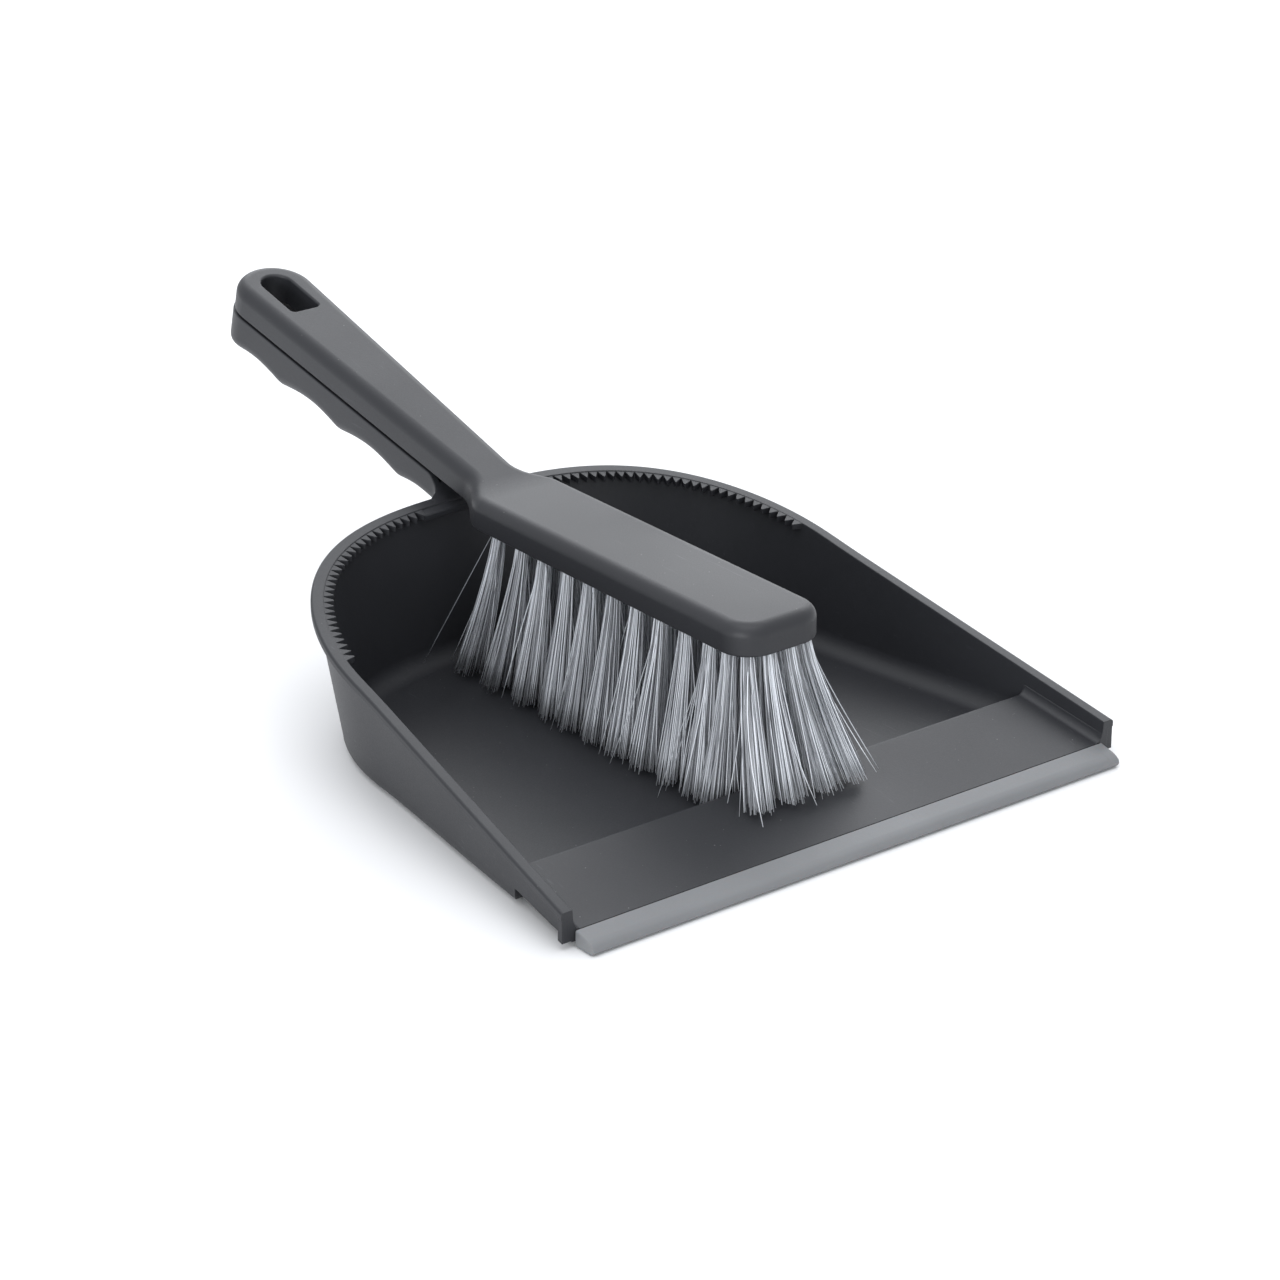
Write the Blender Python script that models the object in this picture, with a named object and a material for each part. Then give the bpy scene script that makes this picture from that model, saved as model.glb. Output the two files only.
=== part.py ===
"""Dustpan with a rubber lip and a hand brush that rests along its handle.

Lengths are in millimetres until a mesh is made. Y runs from the front of the lip (y = 0) back to the
end of the handles, X across the pan, Z up from the floor. The frame empty then moves the set so that
its origin is the centre of the bounding box, on the floor.

Both handles rise at one angle, so they are drawn straight, as (x, s, n): s along the handle, n away from
the parting line between brush and pan. bent() then folds the straight drawing upwards.
"""

import math

import bmesh
import bpy

MM = 0.001

# ---- whole set
LENGTH = 322.0            # lip to handle end
LIP_HALF = 100.9          # half of the lip strip's width

# ---- tray
FRONT_Y = 8.4             # front ends of the side walls
FRONT_HALF = 105.6        # rim, half-width at the front
SIDE_END_Y = 121.9        # where the straight sides turn into the round back
SIDE_END_HALF = 94.1
BACK_Y = 199.6            # rim at the back
BACK_POWER_X = 2.9        # superellipse powers of the round back
BACK_POWER_Y = 1.92
RIM_FRONT_Z = 11.6        # the rim rises in one plane
RIM_SLOPE = 0.219
RIM_WIDTH = 3.85
FLANGE = 2.0              # how far the rim overhangs the wall outside
FLANGE_THICK = 2.4
RIM_ROUND = 0.7
RIB_THICK = 2.0           # flange turned down at the front end of each wall
DRAFT_FRONT = 0.08        # outward lean of the walls, per unit of height
DRAFT_BACK = 0.165
FLOOR_THICK = 2.6
EDGE_ROUND = 4.2          # outside, wall to underside
FLOOR_ROUND = 7.0         # inside, wall to floor

# ---- ramp at the front of the tray
RIDGE_Y = 39.9
RIDGE_Z = 11.3
RAMP_FRONT_Y = 8.5
RAMP_FRONT_Z = 5.05
RAMP_THICK = 2.0
STEP_Y = 38.2             # front face of the step under the ridge
STEP_ROUND = 5.0
SKIRT_REAR_Z = 5.8        # lower edge of the side walls beside the ramp
SKIRT_FRONT_Z = 2.0
TONGUE_Y = 3.4            # tongue that carries the lip strip
TONGUE_LOW = 1.6
TONGUE_HIGH = 3.0
TONGUE_HALF = 99.0

# ---- comb on the inner edge of the rim
COMB_FROM_X = 19.0        # nearest tooth to the handle
COMB_TO_Y = 137.0         # last tooth on the side wall
TOOTH_PITCH = 3.3
TOOTH_ROOT = 4.1          # offsets from the rim's outer edge
TOOTH_TIP = 7.1
COMB_THICK = 1.9

# ---- fold line shared by the two handles
FOLD_Y = 173.9
PART_Z = 53.0             # underside of the brush block, and the parting line
FOLD_ANGLE = math.radians(13.7)
FOLD_RADIUS = 60.0

# ---- brush body
BLOCK_FRONT = 37.9
BLOCK_HALF = 16.6
BLOCK_CORNER = 10.3
BODY_THICK = 9.9
BODY_ROUND = 4.2
SHOULDER_FROM = 169.0
SHOULDER_TO = 188.0
NECK_HALF = 8.54          # handle half-width at the fold, before it widens
HANDLE_WIDENING = 0.036   # half-width gained per millimetre of handle
BRUSH_END = 323.1
HANDLE_WALL = 2.2
BODY_CAVITY_FROM = 194.0
BODY_ROOF = 2.5

# ---- pan handle
PART_GAP = 0.8
PAN_END = 323.7
PAN_HANDLE_FROM = 196.6
ROOT_DEPTH = 10.8
END_DEPTH = 14.4
GRIP_PITCH = 32.4
GRIP_FIRST = 221.7        # deepest point of the first finger ridge
GRIP_HEIGHT = 1.1
HANDLE_ROUND = 4.5
ROOT_RISE_TO = 206.0      # the handle's side walls reach the parting line here
ROOT_FLARE = 3.5
TROUGH_FROM = 202.0       # the open channel in the handle starts behind the rim
ROOT_LEAN = 0.4           # the handle's front end leans with the tray's wall, to stay inside it

# ---- hanging hole through both handles
HOLE_FROM = 292.0
HOLE_TO = 315.0
HOLE_HALF = 5.4
HOLE_CORNER = 1.5
BOSS_WALL = 1.7

# ---- tufts
HOLE_R = 2.8
HOLE_DEEP = 6.4
TUFT_R = 2.5
TUFT_IN = 5.9
TUFT_TIP_R = 4.5
TUFT_SIDES = 10
TUFT_PITCH = 11.6
OUTER_X = 11.2
INNER_X = 3.8
OUTER_REAR_Y = 164.2
INNER_REAR_Y = 158.4
TIP_Z = 4.0
TIP_CLEAR = 0.6

PLASTIC = (0.085, 0.088, 0.092)
RUBBER = (0.30, 0.31, 0.325)
FILAMENT = (0.42, 0.44, 0.47)


# ------------------------------------------------------------------ curves

def lerp(a, b, t):
    return a + (b - a) * t


def smooth(t):
    t = min(max(t, 0.0), 1.0)
    return t * t * (3.0 - 2.0 * t)


def resampled(points, step):
    """The polyline's points at even arc lengths of about step."""
    lengths = [0.0]
    for (x0, y0), (x1, y1) in zip(points, points[1:]):
        lengths.append(lengths[-1] + math.hypot(x1 - x0, y1 - y0))
    count = round(lengths[-1] / step)
    result = []
    k = 0
    for i in range(count + 1):
        want = lengths[-1] * i / count
        while k < len(points) - 2 and lengths[k + 1] < want:
            k += 1
        t = (want - lengths[k]) / (lengths[k + 1] - lengths[k])
        result.append((lerp(points[k][0], points[k + 1][0], t), lerp(points[k][1], points[k + 1][1], t)))
    return result


def normals(points):
    """Unit normals towards the inside of a half outline that runs from front to back at +X."""
    result = []
    last = len(points) - 1
    for i, (x, y) in enumerate(points):
        before = points[i - 1] if i else points[0]
        after = points[i + 1] if i < last else points[i]
        if i == last and abs(x) < 1e-9:
            after = (-points[i - 1][0], points[i - 1][1])
        tx, ty = after[0] - before[0], after[1] - before[1]
        size = math.hypot(tx, ty)
        result.append((-ty / size, tx / size))
    return result


def inset(points, distance):
    """The half outline moved inwards; its ends stay on the centre line and on the front line."""
    moved = []
    for (x, y), (nx, ny) in zip(points, normals(points)):
        moved.append((max(x + nx * distance, 0.0), y + ny * distance))
    return moved


def rim_z(y):
    return RIM_FRONT_Z + RIM_SLOPE * (max(y, FRONT_Y) - FRONT_Y)


def draft(y):
    return lerp(DRAFT_FRONT, DRAFT_BACK, smooth((y - FRONT_Y) / (SIDE_END_Y - FRONT_Y)))


def ramp_z(y):
    slope = (RIDGE_Z - RAMP_FRONT_Z) / (RIDGE_Y - RAMP_FRONT_Y)
    return RAMP_FRONT_Z + slope * (y - RAMP_FRONT_Y)


def rim_path():
    """Outer edge of the rim at +X: a straight side, then a quarter of a superellipse round the back."""
    dense = [(lerp(FRONT_HALF, SIDE_END_HALF, t / 40), lerp(FRONT_Y, SIDE_END_Y, t / 40)) for t in range(40)]
    for i in range(181):
        angle = math.radians(i / 2)
        x = SIDE_END_HALF * max(math.cos(angle), 0.0) ** (2 / BACK_POWER_X)
        y = SIDE_END_Y + (BACK_Y - SIDE_END_Y) * math.sin(angle) ** (2 / BACK_POWER_Y)
        dense.append((x if i < 180 else 0.0, y))
    path = resampled(dense, 4.9)
    for _ in range(2):
        eased = [path[0]]
        for a, b, c in zip(path, path[1:], path[2:]):
            eased.append(((a[0] + 2 * b[0] + c[0]) / 4, (a[1] + 2 * b[1] + c[1]) / 4))
        path = eased + [path[-1]]
    return path


def body_half(s):
    """Half-width of the brush body along its length, without its rounded ends."""
    handle = NECK_HALF + HANDLE_WIDENING * (s - FOLD_Y)
    if s <= SHOULDER_FROM:
        return BLOCK_HALF
    if s >= SHOULDER_TO:
        return handle
    t = (s - SHOULDER_FROM) / (SHOULDER_TO - SHOULDER_FROM)
    return lerp(BLOCK_HALF, handle, (1 - math.cos(math.pi * t)) / 2)


def rounded_end(end, half_at, count):
    """Points of a semicircular handle end, from its side to the centre line."""
    radius = half_at(end - half_at(end))
    points = []
    for i in range(count + 1):
        angle = math.pi / 2 * i / count
        points.append((radius * math.cos(angle) if i < count else 0.0, end - radius + radius * math.sin(angle)))
    return points


def body_outline():
    points = []
    for i in range(7):
        angle = math.pi / 2 * i / 6
        x = BLOCK_HALF - BLOCK_CORNER + BLOCK_CORNER * math.sin(angle)
        points.append((x, BLOCK_FRONT + BLOCK_CORNER * (1 - math.cos(angle))))
    stops = [90, 130, 155, 163] + [SHOULDER_FROM + 1.9 * i for i in range(11)] + [194, 200, 225, 255, 285]
    points += [(body_half(s), s) for s in stops]
    return points + rounded_end(BRUSH_END, body_half, 9)


def grip_depth(s):
    """How far the pan handle reaches below the parting line: it deepens, with finger ridges on it."""
    t = (s - PAN_HANDLE_FROM) / (PAN_END - PAN_HANDLE_FROM)
    wave = math.cos(2 * math.pi * (s - GRIP_FIRST) / GRIP_PITCH)
    grown = smooth((s - PAN_HANDLE_FROM) / (GRIP_FIRST - PAN_HANDLE_FROM))
    return lerp(ROOT_DEPTH, END_DEPTH, min(max(t, 0.0), 1.0)) + GRIP_HEIGHT * wave * grown


def pan_half(s):
    """Half-width of the pan handle, with a fillet where it meets the rim."""
    flare = 0.0
    reach = PAN_HANDLE_FROM + 2.0 + ROOT_FLARE - s
    if reach > 0:
        flare = ROOT_FLARE - math.sqrt(max(ROOT_FLARE ** 2 - min(reach, ROOT_FLARE) ** 2, 0.0))
    return NECK_HALF + HANDLE_WIDENING * (s - FOLD_Y) + flare


def pan_top(s):
    """Upper edge of the pan handle: it climbs from the rim to just under the parting line."""
    rim_level = rim_z(BACK_Y) - 0.4 - bent(0, PAN_HANDLE_FROM, 0)[2]
    return lerp(rim_level, -PART_GAP, smooth((s - PAN_HANDLE_FROM - 1) / (ROOT_RISE_TO - PAN_HANDLE_FROM - 1)))


def handle_stops(start, end):
    """Even stations along the handle, dense enough for the finger ridges."""
    count = round((end - start) / 4.0)
    return [lerp(start, end, i / count) for i in range(count + 1)]


def pan_handle_outline(start):
    stops = handle_stops(start, PAN_END - pan_half(PAN_END) - 1.5)
    return [(pan_half(s), s) for s in stops] + rounded_end(PAN_END, pan_half, 9)


def bent(x, s, n):
    """Fold a point of the straight drawing up to the handles' angle, round an arc at the fold line."""
    setback = FOLD_RADIUS * math.tan(FOLD_ANGLE / 2)
    along = s - (FOLD_Y - setback)
    turn = min(max(along / FOLD_RADIUS, 0.0), FOLD_ANGLE)
    beyond = max(along - FOLD_RADIUS * FOLD_ANGLE, 0.0)
    y = min(s, FOLD_Y - setback) + (FOLD_RADIUS - n) * math.sin(turn) + beyond * math.cos(turn)
    z = PART_Z + FOLD_RADIUS - (FOLD_RADIUS - n) * math.cos(turn) + beyond * math.sin(turn)
    return x, y, z


def straight(x, y, z):
    return x, y, z


# ------------------------------------------------------------------ meshes and objects

def material(name, colour, roughness):
    made = bpy.data.materials.new(name)
    made.use_nodes = True
    shader = made.node_tree.nodes["Principled BSDF"]
    shader.inputs["Base Color"].default_value = (*colour, 1.0)
    shader.inputs["Roughness"].default_value = roughness
    shader.inputs["Metallic"].default_value = 0.0
    made.diffuse_color = (*colour, 1.0)
    return made


def solid(name, points, faces, parent=None, origin=(0.0, 0.0, 0.0)):
    """A closed mesh object from points in millimetres, its faces turned outwards."""
    mesh = bpy.data.meshes.new(name)
    ox, oy, oz = origin
    mesh.from_pydata([((x - ox) * MM, (y - oy) * MM, (z - oz) * MM) for x, y, z in points], [], faces)
    made = bmesh.new()
    made.from_mesh(mesh)
    bmesh.ops.recalc_face_normals(made, faces=made.faces)
    made.to_mesh(mesh)
    made.free()
    thing = bpy.data.objects.new(name, mesh)
    bpy.context.scene.collection.objects.link(thing)
    thing.parent = parent
    thing.location = (ox * MM, oy * MM, oz * MM)
    return thing


def mirrored_stack(name, rings, place=straight, **where):
    """A closed solid from half outlines at +X, each a list of (x, s, n), stacked and mirrored in X."""
    points, faces = [], []
    first_on_axis = rings[0][0][0] == 0
    half = len(rings[0])
    for ring in rings:
        points += [place(x, s, n) for x, s, n in ring]
        points += [place(-x, s, n) for x, s, n in reversed(ring) if x > 0]
    count = len(points) // len(rings)
    mirror = [(count - i) % count if first_on_axis else count - 1 - i for i in range(half)]
    for base in range(0, count * (len(rings) - 1), count):
        for i in range(count):
            j = (i + 1) % count
            faces.append((base + i, base + j, base + count + j, base + count + i))
    for base in (0, count * (len(rings) - 1)):
        for i in range(half - 1):
            corners = [i, i + 1, mirror[i + 1], mirror[i]]
            faces.append([base + c for c in dict.fromkeys(corners)])
    return solid(name, points, faces, **where)


def strip(name, profile, half_width, **where):
    """A closed solid whose (y, z) profile runs across the pan; half_width(y, z) says how far."""
    count = len(profile)
    points = [(-half_width(y, z), y, z) for y, z in profile] + [(half_width(y, z), y, z) for y, z in profile]
    faces = [tuple(range(count)), tuple(range(count, 2 * count))]
    faces += [(i, (i + 1) % count, count + (i + 1) % count, count + i) for i in range(count)]
    return solid(name, points, faces, **where)


def boolean(target, tool, operation):
    step = target.modifiers.new(tool.name, "BOOLEAN")
    step.operation = operation
    step.solver = "EXACT"
    step.object = tool
    tool.hide_render = True
    tool.display_type = "WIRE"


def finish(thing, look):
    thing.data.materials.clear()
    thing.data.materials.append(look)
    thing.data.shade_smooth()
    thing.data.set_sharp_from_angle(angle=math.radians(35))


def frame_empty(name, location, parent=None):
    made = bpy.data.objects.new(name, None)
    made.location = [v * MM for v in location]
    made.parent = parent
    bpy.context.scene.collection.objects.link(made)
    return made


# ------------------------------------------------------------------ the pan

def wall_ring(path, height, offset):
    """A ring of the tray: offset(y, z) inwards from the rim's edge, at height(y)."""
    ring = []
    for (x, y), (nx, ny) in zip(path, normals(path)):
        z = height(y)
        distance = offset(y, z)
        ring.append((max(x + nx * distance, 0.0), y + (ny * distance if y > FRONT_Y + 0.1 else 0.0), z))
    return ring


def tray_outside(frame):
    path = rim_path()

    def wall(y, z):
        return FLANGE + draft(y) * max(rim_z(y) - FLANGE_THICK - z, 0.0)

    rings = []
    for degrees in (0, 30, 60, 90):
        turn = math.radians(degrees)
        rise = EDGE_ROUND * (1 - math.cos(turn))
        run = EDGE_ROUND * (1 - math.sin(turn))
        rings.append(wall_ring(path, lambda y: rise, lambda y, z: run + wall(y, EDGE_ROUND)))
    rings.append(wall_ring(path, lambda y: rim_z(y) - FLANGE_THICK - 0.4, wall))
    rings.append(wall_ring(path, lambda y: rim_z(y) - FLANGE_THICK, lambda y, z: 0.0))
    rings.append(wall_ring(path, lambda y: rim_z(y) - RIM_ROUND, lambda y, z: 0.0))
    rings.append(wall_ring(path, rim_z, lambda y, z: RIM_ROUND))
    return mirrored_stack("pan", rings, parent=frame)


def tray_inside(frame):
    path = rim_path()
    slope = (path[0][0] - path[1][0]) / (path[1][1] - path[0][1])
    path = [(path[0][0] + slope * 20, FRONT_Y - 20)] + path[1:]

    def wall(y, z):
        return RIM_WIDTH + draft(y) * max(rim_z(y) - z, 0.0)

    rings = []
    for degrees in (0, 22.5, 45, 67.5, 90):
        turn = math.radians(degrees)
        rise = FLOOR_THICK + FLOOR_ROUND * (1 - math.cos(turn))
        run = FLOOR_ROUND * (1 - math.sin(turn))
        rings.append(wall_ring(path, lambda y: rise, lambda y, z: run + wall(y, FLOOR_THICK + FLOOR_ROUND)))
    rings.append(wall_ring(path, rim_z, wall))
    rings.append(wall_ring(path, lambda y: rim_z(y) + 6, wall))
    return mirrored_stack("cut_tray_inside", rings, parent=frame)


def wall_middle(y, z):
    """Half-width to the middle of the side wall's thickness, beside the ramp."""
    t = (y - FRONT_Y) / (SIDE_END_Y - FRONT_Y)
    middle = (FLANGE + RIM_WIDTH) / 2
    return lerp(FRONT_HALF, SIDE_END_HALF, t) - middle - draft(y) * (rim_z(y) - z)


def end_rib(frame, side):
    """The rim's flange turned down over the front end of a side wall."""
    outer, inner = side * (FRONT_HALF - 0.25), side * (FRONT_HALF - RIM_WIDTH + 0.5)
    low, front, rear = SKIRT_FRONT_Z + 0.05, FRONT_Y + 0.05, FRONT_Y + RIB_THICK
    section = [(front, low), (rear, low + 0.5), (rear, rim_z(rear) - 0.5), (front, rim_z(FRONT_Y) - 0.5)]
    points = [(x, y, z) for x in (outer, inner) for y, z in section]
    faces = [(0, 1, 2, 3), (4, 5, 6, 7)] + [(i, (i + 1) % 4, 4 + (i + 1) % 4, 4 + i) for i in range(4)]
    return solid("join_rib_right" if side > 0 else "join_rib_left", points, faces, parent=frame)


def step_arc(clear=0.0):
    """Rounding under the step, from its underside up to its front face, moved back and up by clear."""
    arc = []
    for degrees in (30, 60, 90):
        turn = math.radians(degrees)
        arc.append((STEP_Y + clear + STEP_ROUND * (1 - math.sin(turn)), clear + STEP_ROUND * (1 - math.cos(turn))))
    return arc


def under_ramp(frame):
    """What is open below the ramp: in front of the step, and under the side walls' lower edges."""
    profile = [(-20, -6), (STEP_Y + STEP_ROUND, -6), (STEP_Y + STEP_ROUND, 0)]
    profile += step_arc() + [(STEP_Y, SKIRT_REAR_Z)]
    profile += [(STEP_Y - 1.7, SKIRT_REAR_Z), (FRONT_Y, SKIRT_FRONT_Z), (-20, SKIRT_FRONT_Z)]
    return strip("cut_under_ramp", profile, lambda y, z: 125.0, parent=frame)


def floor_ahead(frame):
    """The strip of tray floor that the ramp replaces, between the side walls."""
    rear, high = STEP_Y + 1.1, FLOOR_THICK + 0.2
    profile = [(-20, -6), (rear, -6), (rear, high), (-20, high)]
    return strip("cut_floor_ahead", profile, lambda y, z: wall_middle(max(y, FRONT_Y), z) - 1.0, parent=frame)


def ramp(frame):
    """Ramp plate, the step under its ridge, and the tongue that carries the lip."""
    heel = RAMP_FRONT_Y + 6
    profile = [(RAMP_FRONT_Y, TONGUE_LOW), (RAMP_FRONT_Y, RAMP_FRONT_Z), (RIDGE_Y - 0.6, ramp_z(RIDGE_Y - 0.6))]
    profile += [(RIDGE_Y, RIDGE_Z), (RIDGE_Y + 0.5, RIDGE_Z - 0.3), (RIDGE_Y + 1.4, FLOOR_THICK - 0.8)]
    profile += step_arc(0.1) + [(STEP_Y + 0.1, ramp_z(STEP_Y) - RAMP_THICK)]
    profile += [(heel, ramp_z(heel) - RAMP_THICK), (RAMP_FRONT_Y + 1.5, TONGUE_LOW)]
    return strip("join_ramp", profile, wall_middle, parent=frame)


def tongue(frame):
    rear = RAMP_FRONT_Y + 1.0
    profile = [(TONGUE_Y, TONGUE_LOW), (TONGUE_Y, TONGUE_HIGH), (rear, TONGUE_HIGH), (rear, TONGUE_LOW + 0.3)]
    profile += [(RAMP_FRONT_Y, TONGUE_LOW)]
    return strip("join_tongue", profile, lambda y, z: TONGUE_HALF, parent=frame)


def comb(frame, side):
    """Row of teeth along the rim's inner edge, for combing the brush clean: one flat toothed strip."""
    fine = resampled(rim_path(), 0.4)
    inward = normals(fine)
    run = [i for i, (x, y) in enumerate(fine) if x >= COMB_FROM_X and y >= COMB_TO_Y]
    step = (run[-1] - run[0]) / round((run[-1] - run[0]) * 0.4 / TOOTH_PITCH)
    teeth = round((run[-1] - run[0]) / step)

    def at(position, offset):
        i = int(round(position))
        (x, y), (nx, ny) = fine[i], inward[i]
        return side * (x + nx * offset), y + ny * offset

    inner = []
    for k in range(teeth):
        start = run[0] + k * step
        inner += [at(start, TOOTH_ROOT), at(start + 0.38 * step, TOOTH_TIP)]
        inner += [at(start + 0.52 * step, TOOTH_TIP), at(start + 0.9 * step, TOOTH_ROOT)]
    outer = [at(lerp(run[0], run[-1] - 0.1 * step, i / 24), 1.6) for i in range(25)]
    outline = inner + outer[::-1]
    count = len(outline)
    points = [(x, y, rim_z(y) - 0.1) for x, y in outline] + [(x, y, rim_z(y) - COMB_THICK) for x, y in outline]
    faces = [tuple(range(count)), tuple(range(count, 2 * count))]
    faces += [(i, (i + 1) % count, count + (i + 1) % count, count + i) for i in range(count)]
    return solid("join_comb_right" if side > 0 else "join_comb_left", points, faces, parent=frame)


def grip_round(s):
    """Height of the rounding under the handle, less where its side walls are still low."""
    return min(HANDLE_ROUND, pan_top(s) + grip_depth(s) - 0.8)


def pan_handle_outside(frame):
    outline = pan_handle_outline(PAN_HANDLE_FROM)
    rings = []
    for degrees in (0, 30, 60, 90):
        turn = math.radians(degrees)
        run = HANDLE_ROUND * (1 - math.sin(turn))
        rings.append([(x, s, grip_round(s) * (1 - math.cos(turn)) - grip_depth(s))
                      for x, s in side_inset(outline, run)])
    rings.append([(x, s, pan_top(s)) for x, s in outline])
    top = rings[-1][0][2]
    for ring in rings:
        x, s, n = ring[0]
        ring[0] = (x, s - 0.6 + ROOT_LEAN * (n - top), n)
    return mirrored_stack("join_pan_handle", rings, place=bent, parent=frame)


def side_inset(outline, run):
    """Inset of a handle outline that keeps its square front end where it is."""
    moved = inset(outline, run)
    moved[0] = (outline[0][0] - run, outline[0][1])
    return moved


def pan_trough(frame):
    """The open channel in the pan handle, from just behind the rim."""
    outline = side_inset(pan_handle_outline(TROUGH_FROM), HANDLE_WALL)
    rings = []
    for rise, run in ((0.0, 2.6), (0.8, 0.8), (2.6, 0.0)):
        rings.append([(x, s, rise - grip_depth(s) + HANDLE_WALL) for x, s in side_inset(outline, run)])
    rings.append([(x, s, 6.0) for x, s in outline])
    return mirrored_stack("cut_pan_trough", rings, place=bent, parent=frame)


def hole_outline(grow=0.0):
    """D-shaped hanging hole: nearly square at the front, a half circle at the back."""
    half = HOLE_HALF + grow
    corner = HOLE_CORNER + grow
    start = HOLE_FROM - grow
    points = []
    for i in range(4):
        angle = math.pi / 2 * i / 3
        points.append((half - corner + corner * math.sin(angle), start + corner * (1 - math.cos(angle))))
    return points + rounded_end(HOLE_TO + grow, lambda s: half, 7)


def hole_solid(name, frame, low, high, grow=0.0):
    rings = [[(x, s, n) for x, s in hole_outline(grow)] for n in (low, high)]
    return mirrored_stack(name, rings, place=bent, parent=frame)


def build_pan(frame, look):
    pan = tray_outside(frame)
    boolean(pan, tray_inside(frame), "DIFFERENCE")
    boolean(pan, under_ramp(frame), "DIFFERENCE")
    boolean(pan, floor_ahead(frame), "DIFFERENCE")
    boolean(pan, ramp(frame), "UNION")
    boolean(pan, tongue(frame), "UNION")
    for side in (1, -1):
        boolean(pan, end_rib(frame, side), "UNION")
        boolean(pan, comb(frame, side), "UNION")
    boolean(pan, pan_handle_outside(frame), "UNION")
    boolean(pan, pan_trough(frame), "DIFFERENCE")
    mid = (HOLE_FROM + HOLE_TO) / 2
    boss_low = HANDLE_WALL / 2 - grip_depth(mid)
    boolean(pan, hole_solid("join_pan_boss", frame, boss_low, -PART_GAP - 0.3, BOSS_WALL), "UNION")
    boolean(pan, hole_solid("cut_pan_hole", frame, -25.0, 5.0), "DIFFERENCE")
    finish(pan, look)


def build_lip(frame, look):
    """Flexible strip that closes the gap to the floor; its slot grips the tongue."""
    rear = RAMP_FRONT_Y - 0.4
    clear = 0.3
    slot = TONGUE_Y - clear
    profile = [(rear, RAMP_FRONT_Z + 0.05), (3.0, 3.95), (1.1, 3.2), (0.25, 2.3), (0.0, 1.5), (0.3, 0.7)]
    profile += [(1.1, 0.15), (2.2, 0.0), (rear, 0.0), (rear, TONGUE_LOW - clear), (slot, TONGUE_LOW - clear)]
    profile += [(slot, TONGUE_HIGH + clear), (rear, TONGUE_HIGH + clear)]
    lip = strip("lip_strip", profile, lambda y, z: LIP_HALF, parent=frame)
    finish(lip, look)


# ------------------------------------------------------------------ the brush

def tuft_places():
    """Each tuft as name, root (x, y) and the lean (dx, dy) of its tips."""
    places = []
    for side, label in ((-1, "left"), (1, "right")):
        for i in range(10):
            back = max(0.0, 1 - i / 2.5)
            ahead = max(0.0, (i - 7) / 2)
            y = OUTER_REAR_Y - i * TUFT_PITCH
            places.append((f"tuft_{label}_outer_{i + 1:02d}", side * OUTER_X, y,
                           side * 6.4, 9.0 * back - 2.0 * ahead))
            y = INNER_REAR_Y - i * TUFT_PITCH
            places.append((f"tuft_{label}_inner_{i + 1:02d}", side * INNER_X, y,
                           side * 2.2, 7.0 * back - 1.2 * ahead))
        places.append((f"tuft_{label}_outer_11", side * OUTER_X, 51.0, side * 7.6, -3.4))
        places.append((f"tuft_{label}_corner", side * 10.6, 43.3, side * 7.4, -15.5))
        places.append((f"tuft_{label}_front", side * INNER_X, 41.6, side * 2.4, -14.0))
    return places


def tuft_tip_z(y):
    """Tips hang just above the tray floor, or rest just clear of the ramp."""
    rear = y + TUFT_TIP_R
    return ramp_z(min(rear, RIDGE_Y)) + TIP_CLEAR if y - TUFT_TIP_R < RIDGE_Y + 1.4 else TIP_Z


def build_tuft(frame, origin, place, look):
    """One tuft: a plug in its hole that fans out and leans on its way down."""
    name, x, y, dx, dy = place
    drop = PART_Z - tuft_tip_z(y + dy)
    stations = [(TUFT_IN, TUFT_R, 0.0), (0.0, TUFT_R, 0.0), (-0.35 * drop, lerp(TUFT_R, TUFT_TIP_R, 0.3), 0.27),
                (-drop, TUFT_TIP_R, 1.0)]
    points, faces = [], []
    for n, radius, lean in stations:
        for i in range(TUFT_SIDES):
            angle = 2 * math.pi * i / TUFT_SIDES
            points.append((x + dx * lean + radius * math.cos(angle),
                           y + dy * lean + radius * math.sin(angle), PART_Z + n))
    for base in range(0, TUFT_SIDES * (len(stations) - 1), TUFT_SIDES):
        for i in range(TUFT_SIDES):
            j = (i + 1) % TUFT_SIDES
            faces.append((base + i, base + j, base + TUFT_SIDES + j, base + TUFT_SIDES + i))
    faces.append(tuple(range(TUFT_SIDES)))
    faces.append(tuple(range(len(points) - TUFT_SIDES, len(points))))
    tuft = solid(name, [(px - origin[0], py - origin[1], pz - origin[2]) for px, py, pz in points], faces,
                 parent=frame, origin=(x - origin[0], y - origin[1], PART_Z - origin[2]))
    finish(tuft, look)


def tuft_holes(frame, origin):
    """Blind holes for the tufts, as one cutter of separate plugs."""
    points, faces = [], []
    for _, x, y, _, _ in tuft_places():
        base = len(points)
        for z in (-1.0, HOLE_DEEP):
            for i in range(TUFT_SIDES):
                angle = 2 * math.pi * (i + 0.3) / TUFT_SIDES
                points.append((x + HOLE_R * math.cos(angle) - origin[0], y + HOLE_R * math.sin(angle) - origin[1],
                               PART_Z + z - origin[2]))
        for i in range(TUFT_SIDES):
            j = (i + 1) % TUFT_SIDES
            faces.append((base + i, base + j, base + TUFT_SIDES + j, base + TUFT_SIDES + i))
        faces.append(tuple(range(base, base + TUFT_SIDES)))
        faces.append(tuple(range(base + TUFT_SIDES, base + 2 * TUFT_SIDES)))
    return solid("cut_tuft_holes", points, faces, parent=frame)


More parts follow.
